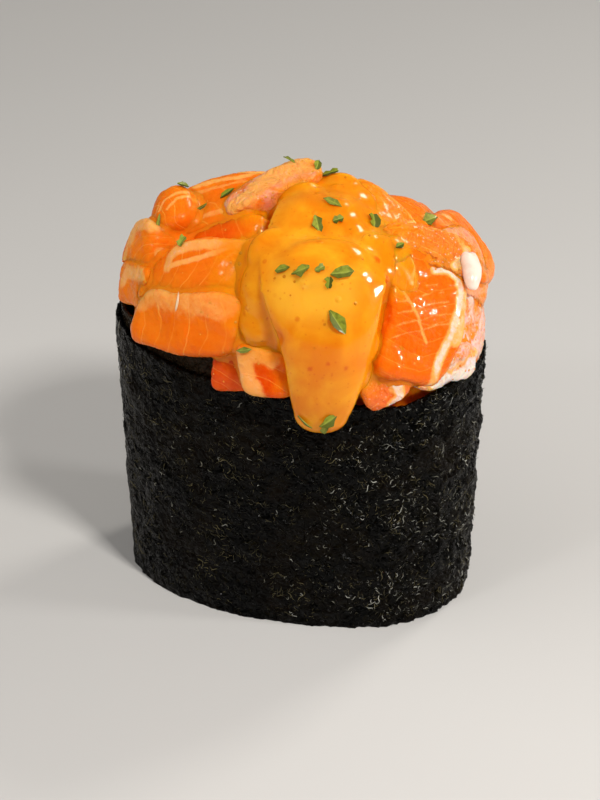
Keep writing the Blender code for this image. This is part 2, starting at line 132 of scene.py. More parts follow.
def scatterTree():  # copies of a few shapes strewn over a surface
    tree = bpy.data.node_groups.new("strewnCopies", "GeometryNodeTree")
    for name, kind in (("Surface", "Geometry"), ("Shapes", "Collection"), ("Most per area", "Float"),
                       ("Spacing", "Float"),
                       ("Smallest", "Float"), ("Largest", "Float"), ("Tilt", "Float"), ("Lift", "Float"),
                       ("Seed", "Int"), ("Material", "Material")):
        tree.interface.new_socket(name=name, in_out="INPUT", socket_type="NodeSocket" + kind)
    tree.interface.new_socket(name="Geometry", in_out="OUTPUT", socket_type="NodeSocketGeometry")
    given = tree.nodes.new("NodeGroupInput").outputs
    share = node(tree, "GeometryNodeInputNamedAttribute", {"Name": "share"},
                 data_type="FLOAT").outputs["Attribute"]
    spots = node(tree, "GeometryNodeDistributePointsOnFaces", {
        "Mesh": given["Surface"], "Distance Min": given["Spacing"], "Density Max": given["Most per area"],
        "Density Factor": share, "Seed": given["Seed"]}, distribute_method="POISSON")
    backTilt = maths(tree, "MULTIPLY", given["Tilt"], -1.0)
    least = node(tree, "ShaderNodeCombineXYZ", {0: backTilt, 1: backTilt, 2: -math.pi}).outputs[0]
    most = node(tree, "ShaderNodeCombineXYZ", {0: given["Tilt"], 1: given["Tilt"], 2: math.pi}).outputs[0]
    spin = node(tree, "FunctionNodeRandomValue", {0: least, 1: most, "Seed": given["Seed"]},
                data_type="FLOAT_VECTOR")
    turn = node(tree, "FunctionNodeRotateRotation", {
        0: spots.outputs["Rotation"], 1: node(tree, "FunctionNodeEulerToRotation",
                                              {0: spin.outputs[0]}).outputs[0]},
        rotation_space="LOCAL")
    size = node(tree, "FunctionNodeRandomValue", {2: given["Smallest"], 3: given["Largest"],
                                                  "Seed": given["Seed"]},
                data_type="FLOAT")
    lift = node(tree, "ShaderNodeVectorMath", {0: spots.outputs["Normal"], 3: given["Lift"]},
                operation="SCALE")
    raised = node(tree, "GeometryNodeSetPosition", {"Geometry": spots.outputs["Points"],
                                                    "Offset": lift.outputs[0]})
    shapes = node(tree, "GeometryNodeCollectionInfo", {"Collection": given["Shapes"],
                                                       "Separate Children": True,
                                                        "Reset Children": True})
    copies = node(tree, "GeometryNodeInstanceOnPoints", {
        "Points": raised.outputs[0], "Instance": shapes.outputs[0], "Pick Instance": True,
        "Rotation": turn.outputs[0], "Scale": size.outputs[1]})
    real = node(tree, "GeometryNodeRealizeInstances", {0: copies.outputs[0]})
    done = node(tree, "GeometryNodeSetMaterial", {"Geometry": real.outputs[0], "Material": given["Material"]})
    tree.links.new(done.outputs[0], tree.nodes.new("NodeGroupOutput").inputs[0])
    return tree


def strewn(name, surface, shapes, material, **values):  # a piece of such copies
    piece = linked(name, surface)
    group = bpy.data.collections.new(name + "Shapes")
    makers = [bpy.data.objects.new(name + "Shape", shape) for shape in shapes]
    for maker in makers:
        group.objects.link(maker)
    modifier = piece.modifiers.new("strewn", "NODES")
    modifier.node_group = strewnCopies
    values.update({"Shapes": group, "Material": material})
    for item in strewnCopies.interface.items_tree:
        if item.in_out == "INPUT" and item.name in values:
            modifier[item.identifier] = values[item.name]
    piece.data = settled(piece)
    for maker in makers:
        bpy.data.objects.remove(maker)
    bpy.data.collections.remove(group)
    return piece


def ringFaces(bands, sides):  # the faces of so many bands between rings of points
    return [(i * sides + j, i * sides + (j + 1) % sides, (i + 1) * sides + (j + 1) % sides, (i + 1) * sides
             + j)
            for i in range(bands) for j in range(sides)]


def tubeAlong(points, radii, sides, flat=1.0):  # a closed tube round a path, as points and faces
    points = np.asarray(points, float)
    ways = np.gradient(points, axis=0)
    ways /= np.linalg.norm(ways, axis=1, keepdims=True)
    level = np.cross(ways, (0.03, 0.02, 1.0))
    level /= np.linalg.norm(level, axis=1, keepdims=True)
    upright = np.cross(level, ways)
    turns = np.arange(sides) * 2 * math.pi / sides
    ring = (np.cos(turns)[None, :, None] * level[:, None]
            + flat * np.sin(turns)[None, :, None] * upright[:, None])
    made = (points[:, None] + ring * np.asarray(radii, float)[:, None, None]).reshape(-1, 3)
    faces = ringFaces(len(points) - 1, sides)
    faces += [tuple(range(sides))[::-1], tuple((len(points) - 1) * sides + j for j in range(sides))]
    return made, faces


def joinedMesh(name, parts):  # several (points, faces) as one mesh
    points, faces, start = [], [], 0
    for some, sides in parts:
        points.append(np.asarray(some))
        faces += [tuple(start + k for k in side) for side in sides]
        start += len(some)
    return meshFrom(name, np.concatenate(points), faces)


def partsOf(mesh):
    return pointsOf(mesh), [tuple(side.vertices) for side in mesh.polygons]


def writeShare(mesh, values):  # how thickly copies lie on each point of a surface
    mesh.attributes.new("share", "FLOAT", "POINT").data.foreach_set("value", np.asarray(values, np.float32))


def finishPiece(piece, material, nodes):  # to metres, then onto its body
    piece.data.transform(Matrix.Scale(mm, 4))
    piece.data.shade_smooth()
    piece.data.materials.clear()
    piece.data.materials.append(material)
    piece.data.polygons.foreach_set("material_index", np.zeros(len(piece.data.polygons), np.int32))
    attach(piece, "root")
    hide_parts(*nodes)


# material tools

def newMaterial(name):
    material = bpy.data.materials.new(name)
    material.use_nodes = True
    tree = material.node_tree
    return material, tree, tree.nodes["Principled BSDF"]


def node(tree, kind, inputs=None, **settings):  # a node with its values set and its links made
    made = tree.nodes.new(kind)
    for key, value in settings.items():
        setattr(made, key, value)
    for key, value in (inputs or {}).items():
        if isinstance(value, bpy.types.NodeSocket):
            tree.links.new(value, made.inputs[key])
        else:
            made.inputs[key].default_value = value
    return made


def mixed(tree, share, a, b):  # a colour between a and b
    return node(tree, "ShaderNodeMix", {0: share, 6: a, 7: b}, data_type="RGBA").outputs[2]


def maths(tree, operation, a, b=0.0):
    return node(tree, "ShaderNodeMath", {0: a, 1: b}, operation=operation).outputs[0]


def times(tree, a, b):
    return maths(tree, "MULTIPLY", a, b)


def channels(tree, name):  # the three values that the points of a mesh carry under a name
    given = node(tree, "ShaderNodeAttribute", attribute_name=name).outputs["Vector"]
    return node(tree, "ShaderNodeSeparateXYZ", {0: given}).outputs


def cells(tree, where, perMetre, feature="F1"):
    return node(tree, "ShaderNodeTexVoronoi", {"Vector": where, "Scale": perMetre}, feature=feature)


def remap(tree, value, low, high, lowTo=0.0, highTo=1.0):
    return node(tree, "ShaderNodeMapRange", {"Value": value, "From Min": low, "From Max": high,
                "To Min": lowTo, "To Max": highTo}, interpolation_type="SMOOTHSTEP").outputs["Result"]


def speckle(tree, where, perMetre, detail=3.0, roughness=0.5, warp=0.0):
    return node(tree, "ShaderNodeTexNoise", {"Vector": where, "Scale": perMetre, "Detail": detail,
                "Roughness": roughness, "Distortion": warp}).outputs["Fac"]


def bumped(tree, height, distance, strength=1.0, onto=None):
    inputs = {"Height": height, "Distance": distance, "Strength": strength}
    if onto is not None:
        inputs["Normal"] = onto
    return node(tree, "ShaderNodeBump", inputs).outputs["Normal"]


def setShader(tree, shader, **inputs):
    for key, value in inputs.items():
        socket = shader.inputs[key.replace("_", " ")]
        if isinstance(value, bpy.types.NodeSocket):
            tree.links.new(value, socket)
        else:
            socket.default_value = value


strewnCopies = scatterTree()

# camera, light and floor

stageLook = dict(
    azimuth=17.0, elevation=31.0, distance=0.450, target=(0, 0, 0.020), lens=90.585,
    shift=(-0.001225, 0.057), floorColour=(0.55, 0.54, 0.525, 1), worldColour=(1.0, 0.97, 0.92, 1),
    worldStrength=0.12,
    # each lamp: degrees round and above, metres away, metres across, watts, colour
    lamps=[
        ("key", 48, 50, 0.42, 0.06, 1.35, (1.0, 0.97, 0.93)),
        ("fill", -56, 34, 0.50, 0.60, 1.25, (1.0, 0.98, 0.96)),
        ("spark", -28, 44, 0.45, 0.04, 0.16, (1.0, 0.98, 0.96)),
        ("side", 96, 14, 0.40, 0.05, 0.70, (1.0, 0.98, 0.96)),
        ("back", 150, 48, 0.50, 0.10, 0.70, (1.0, 0.96, 0.9)),
    ],
)


def directionOf(azimuth, elevation):
    a, e = math.radians(azimuth), math.radians(elevation)
    return Vector((math.sin(a) * math.cos(e), -math.cos(a) * math.cos(e), math.sin(e)))


def setStage(look):
    scene = bpy.context.scene
    scene.view_settings.view_transform = "Standard"
    target = Vector(look["target"])
    back = directionOf(look["azimuth"], look["elevation"])
    camera = bpy.data.cameras.new("camera")
    camera.sensor_fit = "VERTICAL"
    camera.sensor_height = 24
    camera.lens = look["lens"]
    camera.shift_x, camera.shift_y = look["shift"]
    camera.clip_start = 0.01
    holder = linked("camera", camera)
    holder.location = target + back * look["distance"]
    holder.rotation_euler = back.to_track_quat("Z", "Y").to_euler()
    scene.camera = holder
    for name, azimuth, elevation, away, across, watts, colour in look["lamps"]:
        lamp = bpy.data.lights.new(name, "AREA")
        lamp.shape = "SQUARE"
        lamp.size, lamp.energy, lamp.color = across, watts, colour
        holder = linked(name, lamp)
        way = directionOf(azimuth, elevation)
        holder.location = Vector((0, 0, 0.03)) + way * away
        holder.rotation_euler = way.to_track_quat("Z", "Y").to_euler()
        holder.visible_glossy = name != "fill"  # too broad to show as a glint
    world = bpy.data.worlds.new("studio")
    world.use_nodes = True
    background = world.node_tree.nodes["Background"]
    background.inputs["Color"].default_value = look["worldColour"]
    background.inputs["Strength"].default_value = look["worldStrength"]
    scene.world = world
    half = 3.0
    floor = linked("floor", meshFrom("floor", [(-half, -half, 0), (half, -half, 0), (half, half, 0),
                                               (-half, half, 0)],
                                     [(0, 1, 2, 3)]))
    material, tree, shader = newMaterial("paleFloor")
    where = node(tree, "ShaderNodeTexCoord").outputs["Object"]
    cloud = speckle(tree, where, 9.0, 2.0)
    colour = look["floorColour"]
    setShader(tree, shader, Base_Color=mixed(tree, cloud, colour, tuple(c * 1.06 for c in colour[:3]) + (1,)),
              Roughness=0.7)
    shader.inputs["Specular IOR Level"].default_value = 0.2
    floor.data.materials.append(material)
    print("stage set")


setStage(stageLook)


# the point, in mm, and normal of the nearest of some surfaces at a pixel of the photo
def seenOn(trees, u, v):
    azimuth, elevation = stageLook["azimuth"], stageLook["elevation"]
    back = directionOf(azimuth, elevation)
    right = Vector((math.cos(math.radians(azimuth)), math.sin(math.radians(azimuth)), 0))
    up = back.cross(right)
    far = stageLook["distance"] / mm
    eye = Vector(stageLook["target"]) / mm + back * far
    perPixel = 24 / stageLook["lens"] / 800
    way = right * (u - 300 - 800 * stageLook["shift"][0]) + up * (400 - v + 800 * stageLook["shift"][1])
    way = (way * perPixel - back).normalized()
    found = [tree.ray_cast(eye, way) for tree in trees]
    found = [hit for hit in found if hit[0] is not None]
    if found:
        hit = min(found, key=lambda hit: hit[3])
        return hit[0], hit[1]
    spots = [eye + way * (far + k * 0.5) for k in range(-90, 90)]
    near = [tree.find_nearest(spot) for tree in trees for spot in spots]
    hit = min(near, key=lambda hit: hit[3])
    return hit[0], hit[1]


# salmon

# at, faces, spin, size and the bends are those of the solids. tone is pale (1) to deep (-1). lines: the way
# they cross the piece in degrees, mm between them, how they curve, how they fold about the middle, and how
# strong they are. film is how much whitish skin lies on it, glaze how much sauce. rim is a band of fat along
# one long side: which side, half its width and how pale it is.
salmonSlices = {
    "front_left_low": dict(at=(-11.2, -16.2, 47.8), faces=(252, 20), spin=10, size=(17.5, 8.4, 6.5), skew=1.2,
                           bend=1.4, tone=0.0, lines=(12, 2.7, 0.30, 0.0, 0.55)),
    "front_left_mid": dict(at=(-9.5, -12.0, 53.7), faces=(252, 36), spin=18, size=(18.8, 8.0, 6.5), skew=3.0,
                           bend=1.4, tone=0.1, lines=(18, 2.6, 0.35, 0.0, 0.55)),
    "front_block": dict(at=(0.9, -18.3, 43.6), faces=(270, 10), spin=4, size=(7.6, 6.8, 6), skew=-0.8,
                        tone=-0.8, lines=(70, 2.4, 0.5, 0.0, 0.5)),
    "front_mid": dict(at=(-0.4, -15.5, 49.8), faces=(266, 24), spin=83, size=(11.5, 8.6, 6.5), bend=0.8,
                      tone=0.5, lines=(30, 3.0, 0.3, 0.0, 0.35), glaze=0.9),
    "centre_right": dict(at=(15.2, -8.4, 55.9), faces=(322, 46), spin=-84, size=(8.8, 5.2, 6), bend=0.6,
                         tone=0.35, lines=(60, 1.9, 0.6, 0.3, 0.6), glaze=0.4, taper=0.25),
    "right_front": dict(at=(19.7, -8.7, 48.9), faces=(322, 26), spin=62, size=(18.4, 12.2, 6.5), taper=-0.12,
                        bend=1.0, arch=-1.4, tone=-0.3, lines=(8, 2.2, 0.0, 0.3, 0.3)),
    "front_right_low": dict(at=(15.0, -14.6, 43.5), faces=(300, 12), spin=-60, size=(9.4, 6.6, 6),
                            taper=-0.15, tone=-0.1, lines=(20, 2.0, 0.3, 0.0, 0.55), film=0.08, glintDots=0.5),
    "front_right_wedge": dict(at=(17.0, -12.6, 44.8), faces=(312, 18), spin=-58, size=(8.2, 7.4, 5.6),
                              taper=-0.3, tone=-0.6, lines=(30, 2.4, 0.4, 0.0, 0.15), film=0.0),
    "rim_right": dict(at=(22.8, -8.2, 42.0), faces=(334, 8), spin=-8, size=(12, 5.0, 5), bend=0.6, tone=0.7,
                      lines=(80, 2.6, 0.4, 0.0, 0.3), film=1.0, glintDots=1.0),
    "right_low": dict(at=(23.4, 0.4, 43.2), faces=(350, 12), spin=48, size=(10.8, 8, 6), bend=0.8, tone=0.8,
                      lines=(20, 2.4, 0.5, 0.0, 0.3), film=1.0, power=3.0, edge=6.0, glintDots=1.0),
    "right_end": dict(at=(21.8, 4.8, 50.2), faces=(355, 28), spin=-113, size=(12.5, 8.4, 6), bend=1.0,
                      tone=0.6, lines=(40, 2.4, 0.5, 0.0, 0.35), film=0.35, power=3.0, edge=6.0, glintDots=0.5),
    "right_mid": dict(at=(18.8, -2.0, 55.3), faces=(335, 54), spin=-40, size=(14.5, 6.2, 6), bend=0.6,
                      taper=-0.12, tone=0.15,
                      lines=(70, 1.6, 0.3, 0.0, 0.65), film=0.05, glintDots=0.8, glaze=0.2),
    "right_top": dict(at=(10.8, 0.8, 57.5), faces=(330, 66), spin=-64, size=(12.5, 9, 6), taper=0.35,
                      bend=0.6, tone=0.3, lines=(50, 1.4, 0.4, 0.0, 0.7), glaze=0.4, film=0.05, glintDots=0.5),
    "top_crest": dict(at=(-4.0, 0.0, 61.2), faces=(248, 66), spin=60, size=(15, 4.6, 4.8), bend=0.6,
                      tone=0.35, lines=(80, 1.8, 0.3, 0.0, 0.4), film=0.5, power=3.4, taper=-0.15, glintDots=1.0),
    "top_left": dict(at=(-12.3, -1.0, 57.0), faces=(236, 60), spin=48, size=(17, 9.0, 6), bend=1.0, tone=0.05,
                     lines=(70, 3.0, 0.6, 0.0, 0.4)),
    "back_left": dict(at=(-17.0, -3.2, 57.1), faces=(228, 46), spin=50, size=(7.4, 7.0, 6.6), bend=0.8,
                      tone=0.3, lines=(35, 2.0, 0.9, 0.0, 0.6), power=2.5, edge=5.0),
    "left_tip": dict(at=(-19.9, -9.6, 48.8), faces=(224, 14), spin=20, size=(9, 6.2, 5.5), tone=0.4,
                     lines=(50, 2.4, 0.5, 0.0, 0.5)),
    "left_end": dict(at=(-19.8, -6.6, 52.5), faces=(222, 26), spin=105, size=(8.6, 7.6, 6.4), tone=0.5,
                     lines=(60, 1.7, 1.0, 0.0, 0.6), power=3.4),
    "deep_left": dict(at=(-10.4, -5.6, 55.4), faces=(246, 48), spin=21, size=(16, 5.4, 5), tone=-0.6,
                      lines=(20, 2.6, 0.4, 0.0, 0.3)),
    "rim_scrap": dict(at=(-3.5, -16.8, 41.8), faces=(262, 10), spin=6, size=(8, 5.4, 4.6), tone=-0.7,
                      lines=(60, 2.0, 0.4, 0.0, 0.4)),
    "under_sauce": dict(at=(8.6, -13.2, 50.0), faces=(285, 28), spin=84, size=(16, 11, 7), bend=1.0, tone=0.0,
                        lines=(20, 2.6, 0.4, 0.0, 0.4)),
    "under_crest": dict(at=(5.6, -4.2, 57.4), faces=(290, 72), spin=86, size=(14, 12, 6), bend=0.8, tone=0.0,
                        lines=(20, 2.6, 0.4, 0.0, 0.4)),
    "back_right": dict(at=(20.9, 8.2, 51.5), faces=(10, 44), spin=-112, size=(11.6, 9, 6), bend=0.8, tone=0.2,
                       lines=(60, 2.0, 0.6, 0.0, 0.5), film=0.08),
    "right_back": dict(at=(14.5, 7.6, 54.7), faces=(30, 56), spin=-66, size=(12.5, 8, 6), bend=0.8, tone=0.1,
                       lines=(30, 2.4, 0.4, 0.0, 0.5)),
    "back_crest": dict(at=(1.6, 6.4, 58.2), faces=(92, 62), spin=176, size=(18, 9, 6), bend=1.2, tone=0.0,
                       lines=(15, 2.6, 0.5, 0.0, 0.55), rim=(-1, 1.0, 0.5)),
    "back_mid": dict(at=(3.0, 13.0, 51.8), faces=(88, 30), spin=8, size=(18, 9, 6.5), bend=1.4, tone=0.1,
                     lines=(12, 2.6, 0.3, 0.4, 0.6), rim=(1, 1.5, 0.55)),
    "back_turn": dict(at=(-13.0, 7.8, 54.0), faces=(128, 42), spin=160, size=(15, 9, 6.5), bend=1.2,
                      tone=-0.1, lines=(20, 2.4, 0.7, 0.0, 0.55), rim=(-1, 1.2, 0.5)),
    "back_low_left": dict(at=(-13.2, 13.6, 45.6), faces=(112, 18), spin=-4, size=(16, 9, 6.5), bend=1.4,
                          tone=-0.1, lines=(14, 2.7, 0.4, 0.0, 0.55), rim=(1, 1.7, 0.5)),
    "back_low_mid": dict(at=(2.6, 15.8, 44.2), faces=(88, 12), spin=4, size=(14, 8, 6), bend=0.6, tone=-0.3,
                         lines=(60, 2.4, 0.4, 0.0, 0.5)),
    "back_low_right": dict(at=(17.2, 12.6, 45.0), faces=(56, 18), spin=-8, size=(15, 9, 6.5), bend=1.4,
                           tone=0.2, lines=(25, 2.2, 0.5, 0.0, 0.55), rim=(1, 1.3, 0.6)),
    "left_low": dict(at=(-22.4, 2.0, 46.8), faces=(178, 18), spin=6, size=(14, 9, 6), bend=1.2, tone=0.1,
                     lines=(16, 2.5, 0.4, 0.0, 0.55), rim=(1, 1.6, 0.55)),
    "left_back": dict(at=(-18.4, 3.0, 53.0), faces=(170, 38), spin=-166, size=(12, 8.4, 6.4), bend=0.8,
                      tone=0.0, lines=(60, 2.0, 0.7, 0.0, 0.5), rim=(-1, 1.2, 0.5)),
}

# bands of fat: the piece, pixels of the photo along the band, its half width in mm and how pale it is
fatBands = [
    ("front_left_mid", [(166, 266.1), (168.2, 257.2), (176.7, 249), (187.8, 245.4), (205.6, 243.9),
                        (225.6, 243.2), (243.3, 241.9)], 0.85, 0.62),
    ("front_left_mid", [(168.2, 266.1), (183.3, 261.4), (198.9, 256.6), (214.4, 252.1), (227.8, 247.2)], 0.42,
     0.6),
    ("front_left_mid", [(216.7, 266.1), (225.6, 257.2), (234.4, 251.7)], 0.22, 0.4),
    ("front_left_mid", [(263.3, 269.4), (256.7, 278.3), (252.2, 287.2)], 0.3, 0.35),
    ("front_left_low", [(138.4, 300.6), (152.2, 294.3), (165.6, 296.1), (185.6, 301.7), (207.8, 308.3),
                        (230, 300.6), (237.8, 293.9)], 2.3, 0.4),
    ("front_left_low", [(145.6, 294.3), (156.7, 293.4), (165.6, 295.2)], 0.5, 0.5),
    ("left_end", [(129.6, 240.6), (131.8, 225), (140, 222.3), (150, 225.4)], 1.3, 0.62),
    ("left_end", [(122.2, 260.6), (125.6, 247.2), (128.9, 237.2)], 0.6, 0.5),
    ("left_end", [(157.8, 253.9), (151.1, 266.1), (145.6, 276.1)], 1.0, 0.55),
    ("left_tip", [(121.6, 280.6), (125.6, 272.8), (137.8, 274.3)], 1.1, 0.62),
    ("left_tip", [(155.6, 277.9), (146.7, 283.9), (138.9, 291.7)], 0.8, 0.55),
    ("left_tip", [(141.1, 278.3), (143.3, 287.2)], 0.5, 0.6),
    ("back_left", [(157.1, 211.7), (162.2, 200.6), (172.2, 193.9), (185.6, 191.7)], 0.3, 0.55),
    ("back_left", [(165.6, 209.4), (174.4, 198.3), (187.8, 196.1)], 0.28, 0.5),
    ("back_left", [(154.4, 225), (154.4, 213.9), (157.8, 202.8)], 0.3, 0.4),
    ("top_left", [(192.7, 187.2), (210, 181.7), (234.4, 177.9), (254.4, 172.1)], 0.5, 0.55),
    ("top_left", [(187.8, 195), (203.3, 190.6), (225.6, 185), (243.3, 180.6)], 0.4, 0.35),
    ("top_left", [(186.7, 218.3), (203.3, 215.7), (221.1, 210.6), (232.2, 209.4)], 0.5, 0.4),
    ("top_left", [(225.6, 208.3), (234.4, 210.6), (237.1, 216.1)], 0.3, 0.6),
    ("top_crest", [(234.4, 203.9), (247.8, 195), (261.1, 185), (276.7, 171.7), (294.4, 165), (310, 162.8)],
     1.9, 0.6),
    ("top_crest", [(230, 203.2), (241.1, 199.4), (248.9, 204.6)], 0.9, 0.65),
    ("front_block", [(242.9, 358.3), (241.1, 369.4), (246, 383.9), (252.2, 395)], 1.6, 0.62),
    ("front_block", [(243.3, 357.2), (256.7, 355), (270, 359.4)], 1.2, 0.58),
    ("front_mid", [(280, 353.9), (287.8, 346.1)], 0.9, 0.6),
    ("front_mid", [(243.3, 320.6), (254.4, 336.1)], 0.35, 0.5),
    ("front_mid", [(265.6, 245), (274.4, 246.1), (277.8, 256.1)], 0.9, 0.5),
    ("right_front", [(433.3, 269.9), (446.7, 269.4), (455.6, 278.3), (458.9, 289.4), (456.7, 309.4),
                     (451.1, 329.4), (444.4, 346.1), (435.6, 362.8), (425.6, 386.1)], 0.8, 0.82),
    ("right_front", [(464.4, 278.3), (463.3, 300.6), (458.9, 322.8), (453.3, 340.6)], 1.0, 0.68),
    ("right_front", [(401.1, 291.7), (408.9, 302.8), (415.6, 316.1), (417.8, 322.8), (421.1, 333.9),
                     (424.4, 342.8)], 0.28, 0.45),
    ("right_front", [(411.1, 289.4), (424.4, 285.4), (435.6, 284.6)], 0.17, 0.34),
    ("right_front", [(412.9, 298.3), (424.4, 294.3), (442.2, 292.1)], 0.17, 0.34),
    ("right_front", [(417.3, 308.3), (428.9, 303.9), (446.7, 301.7)], 0.17, 0.34),
    ("right_front", [(420, 319.4), (431.1, 315.7), (448.4, 313.9)], 0.17, 0.34),
    ("right_front", [(422.2, 329.4), (433.3, 325.4), (446.7, 323.9)], 0.17, 0.34),
    ("right_front", [(406.7, 300.6), (397.8, 301.7), (388.9, 305)], 0.17, 0.34),
    ("right_front", [(411.1, 310.6), (400, 312.1), (387.1, 316.1)], 0.17, 0.34),
    ("right_front", [(414.4, 320.6), (402.2, 322.8), (386.7, 327.7)], 0.17, 0.34),
    ("right_front", [(417.8, 330.6), (404.4, 332.8), (388.9, 338.3)], 0.17, 0.34),
    ("centre_right", [(382.7, 248.3), (395.6, 262.8), (404.4, 271.7), (409.3, 282.8)], 0.4, 0.75),
    ("centre_right", [(409.3, 278.3), (415.6, 266.1), (423.3, 255)], 0.35, 0.6),
    ("centre_right", [(397.8, 250.6), (411.1, 253.9), (422.2, 253.4)], 0.3, 0.5),
    ("right_top", [(381.1, 234.3), (397.8, 228.3), (421.1, 219.4)], 0.7, 0.7),
    ("right_top", [(376.7, 187.2), (397.8, 200.6), (421.1, 217.2)], 0.45, 0.5),
    ("right_top", [(368.9, 189.4), (363.3, 205), (366.7, 220.6)], 0.35, 0.45),
    ("right_mid", [(464.4, 249.4), (466.2, 258.3), (453.3, 266.1)], 0.8, 0.7),
    ("right_mid", [(433.3, 222.8), (451.1, 233.9), (464.4, 249.4)], 0.6, 0.4),
    ("back_right", [(444.4, 215.7), (450, 227.2), (460, 240.6)], 0.7, 0.7),
    ("right_back", [(424.4, 218.3), (433.3, 216.1), (442.2, 215)], 0.8, 0.5),
    ("rim_right", [(433.3, 380.6), (455.6, 378.3), (468.9, 369.4), (482.2, 360.6)], 2.1, 0.92),
    ("front_right_low", [(395.6, 386.1), (397.8, 396.1), (391.1, 406.1)], 0.9, 0.85),
    ("front_right_low", [(373.3, 367.2), (382.2, 378.3), (388.9, 389.4)], 0.35, 0.5),
    ("front_right_low", [(366.7, 369.4), (377.8, 367.2)], 0.4, 0.5),
    ("front_right_wedge", [(395.6, 349.4), (406.7, 369.4), (421.1, 386.1)], 0.14, 0.3),
    ("front_right_wedge", [(420, 336.1), (424.4, 358.3), (422.2, 385)], 0.16, 0.35),
]
bandPaths = {}  # the same bands as points on their pieces

salmonMaking = dict(power=4.6, edge=9.0, uneven=0.7, wider=(0.2, 0.25, 0.0), gap=0.05, voxel=0.27,
                    backVoxel=0.40, smoothing=2, cuts=24,
                    cutterCuts=14, broadRelief=0.16, fineRelief=0.06, lineDepth=0.07, filmRelief=0.16)


def facing(around, above, spin):  # the turn that lays out a piece's length, width and thickness
    a, e = math.radians(around), math.radians(above)
    out = Vector((math.cos(a) * math.cos(e), math.sin(a) * math.cos(e), math.sin(e)))
    level = Vector((-math.sin(a), math.cos(a), 0))
    along = level * math.cos(math.radians(spin)) + out.cross(level) * math.sin(math.radians(spin))
    return Matrix((along, out.cross(along), out)).transposed()


def cutBlock(name, spec, grow, cuts, making):  # a cut piece of salmon before it meets its neighbours, in mm
    half = [s / 2 + grow + wider for s, wider in zip(spec["size"], making["wider"])]
    turn, middle = facing(*spec["faces"], spec["spin"]), Vector(spec["at"])
    taper, skew = spec.get("taper", 0.0), spec.get("skew", 0.0)
    bend, arch = spec.get("bend", 0.0), spec.get("arch", 0.0)
    bm = bmesh.new()
    bmesh.ops.create_cube(bm, size=2)
    bmesh.ops.subdivide_edges(bm, edges=bm.edges[:], cuts=cuts, use_grid_fill=True)
    for vert in bm.verts:
        power, edge = spec.get("power", making["power"]), spec.get("edge", making["edge"])
        level = (abs(vert.co.x) ** power + abs(vert.co.y) ** power) ** (1 / power)
        x, y, z = vert.co / (level ** edge + abs(vert.co.z) ** edge) ** (1 / edge)
        local = Vector((half[0] * x + skew * y, half[1] * y * (1 - taper * x) - arch * x * x,
                        half[2] * z - bend * x * x))
        vert.co = middle + turn @ (local + noise.noise_vector(local * 0.16 + middle) * making["uneven"])
    mesh = bpy.data.meshes.new(name)
    bm.to_mesh(mesh)
    bm.free()
    return linked(name, mesh)


def boxOf(points):
    return points.min(axis=0), points.max(axis=0)


def keepLargest(mesh):  # drops the scraps that a cut leaves
    bm = bmesh.new()
    bm.from_mesh(mesh)
    unseen, bodies = set(bm.faces), []
    while unseen:
        body, waiting = set(), [unseen.pop()]
        while waiting:
            face = waiting.pop()
            body.add(face)
            for near in [f for edge in face.edges for f in edge.link_faces if f in unseen]:
                unseen.discard(near)
                waiting.append(near)
        bodies.append(body)
    largest = max(bodies, key=lambda body: sum(f.calc_area() for f in body))
    bmesh.ops.delete(bm, geom=[f for body in bodies if body is not largest for f in body], context="FACES")
    bm.to_mesh(mesh)
    bm.free()


def insideSlice(spec, points):  # each point's place in its piece: along, across and out, -1 to 1
    turn = np.array(facing(*spec["faces"], spec["spin"]))
    local = (points - np.array(spec["at"])) @ turn
    half = np.array(spec["size"]) / 2
    x, y = local[:, 0] / half[0], local[:, 1] / half[1]
    for _ in range(3):
        x = (local[:, 0] - spec.get("skew", 0.0) * y) / half[0]
        y = (local[:, 1] + spec.get("arch", 0.0) * x * x) / (half[1] * (1 - spec.get("taper", 0.0) * x))
    z = (local[:, 2] + spec.get("bend", 0.0) * x * x) / half[2]
    return np.stack([x, y, z], axis=1)


def distanceToPath(points, path):
    path = np.array(path, float)
    best = np.full(len(points), 1e9)
    for a, b in zip(path, path[1:]):
        way = b - a
        t = np.clip(((points - a) @ way) / max(way @ way, 1e-9), 0, 1)
        best = np.minimum(best, np.linalg.norm(points - a - t[:, None] * way, axis=1))
    return best


def linePhase(spec, points, seed):  # runs up by one from each muscle line to the next
    angle, spacing, curve, fold, _ = spec["lines"]
    place = insideSlice(spec, points) * np.array(spec["size"]) / 2
    a = math.radians(angle)
    along = place[:, 0] * math.cos(a) + place[:, 1] * math.sin(a)
    across = -place[:, 0] * math.sin(a) + place[:, 1] * math.cos(a)
    bent = along + curve * across ** 2 / 6 - fold * np.abs(across) + 0.25 * place[:, 2]
    return bent / spacing + 0.35 * softNoise(points, 0.14, seed) + 0.1 * softNoise(points, 0.5, seed + 3)


def layBands(made):
    for owner, spots, halfWidth, pale in fatBands:
        tree = treeOf(made[owner].data)
        path = [seenOn([tree], u, v)[0] for u, v in spots]
        bandPaths.setdefault(owner, []).append((path, halfWidth, pale))


def fatOf(name, points, seed):
    fat = np.zeros(len(points))
    wander = 0.35 * softNoise(points, 0.45, seed) + 0.16 * softNoise(points, 1.4, seed + 5)
    for path, halfWidth, pale in bandPaths.get(name, []):
        away = distanceToPath(points, path) / halfWidth + wander
        fat = np.maximum(fat, pale * (1 - smoothStep(0.45, 1.45, away)))
    spec = salmonSlices.get(name, {})
    if "rim" in spec:
        side, halfWidth, pale = spec["rim"]
        away = (1 - side * insideSlice(spec, points)[:, 1]) * spec["size"][1] / 2 / halfWidth + 1.5 * wander
        fat = np.maximum(fat, pale * (1 - smoothStep(0.5, 1.5, away)))
    return fat


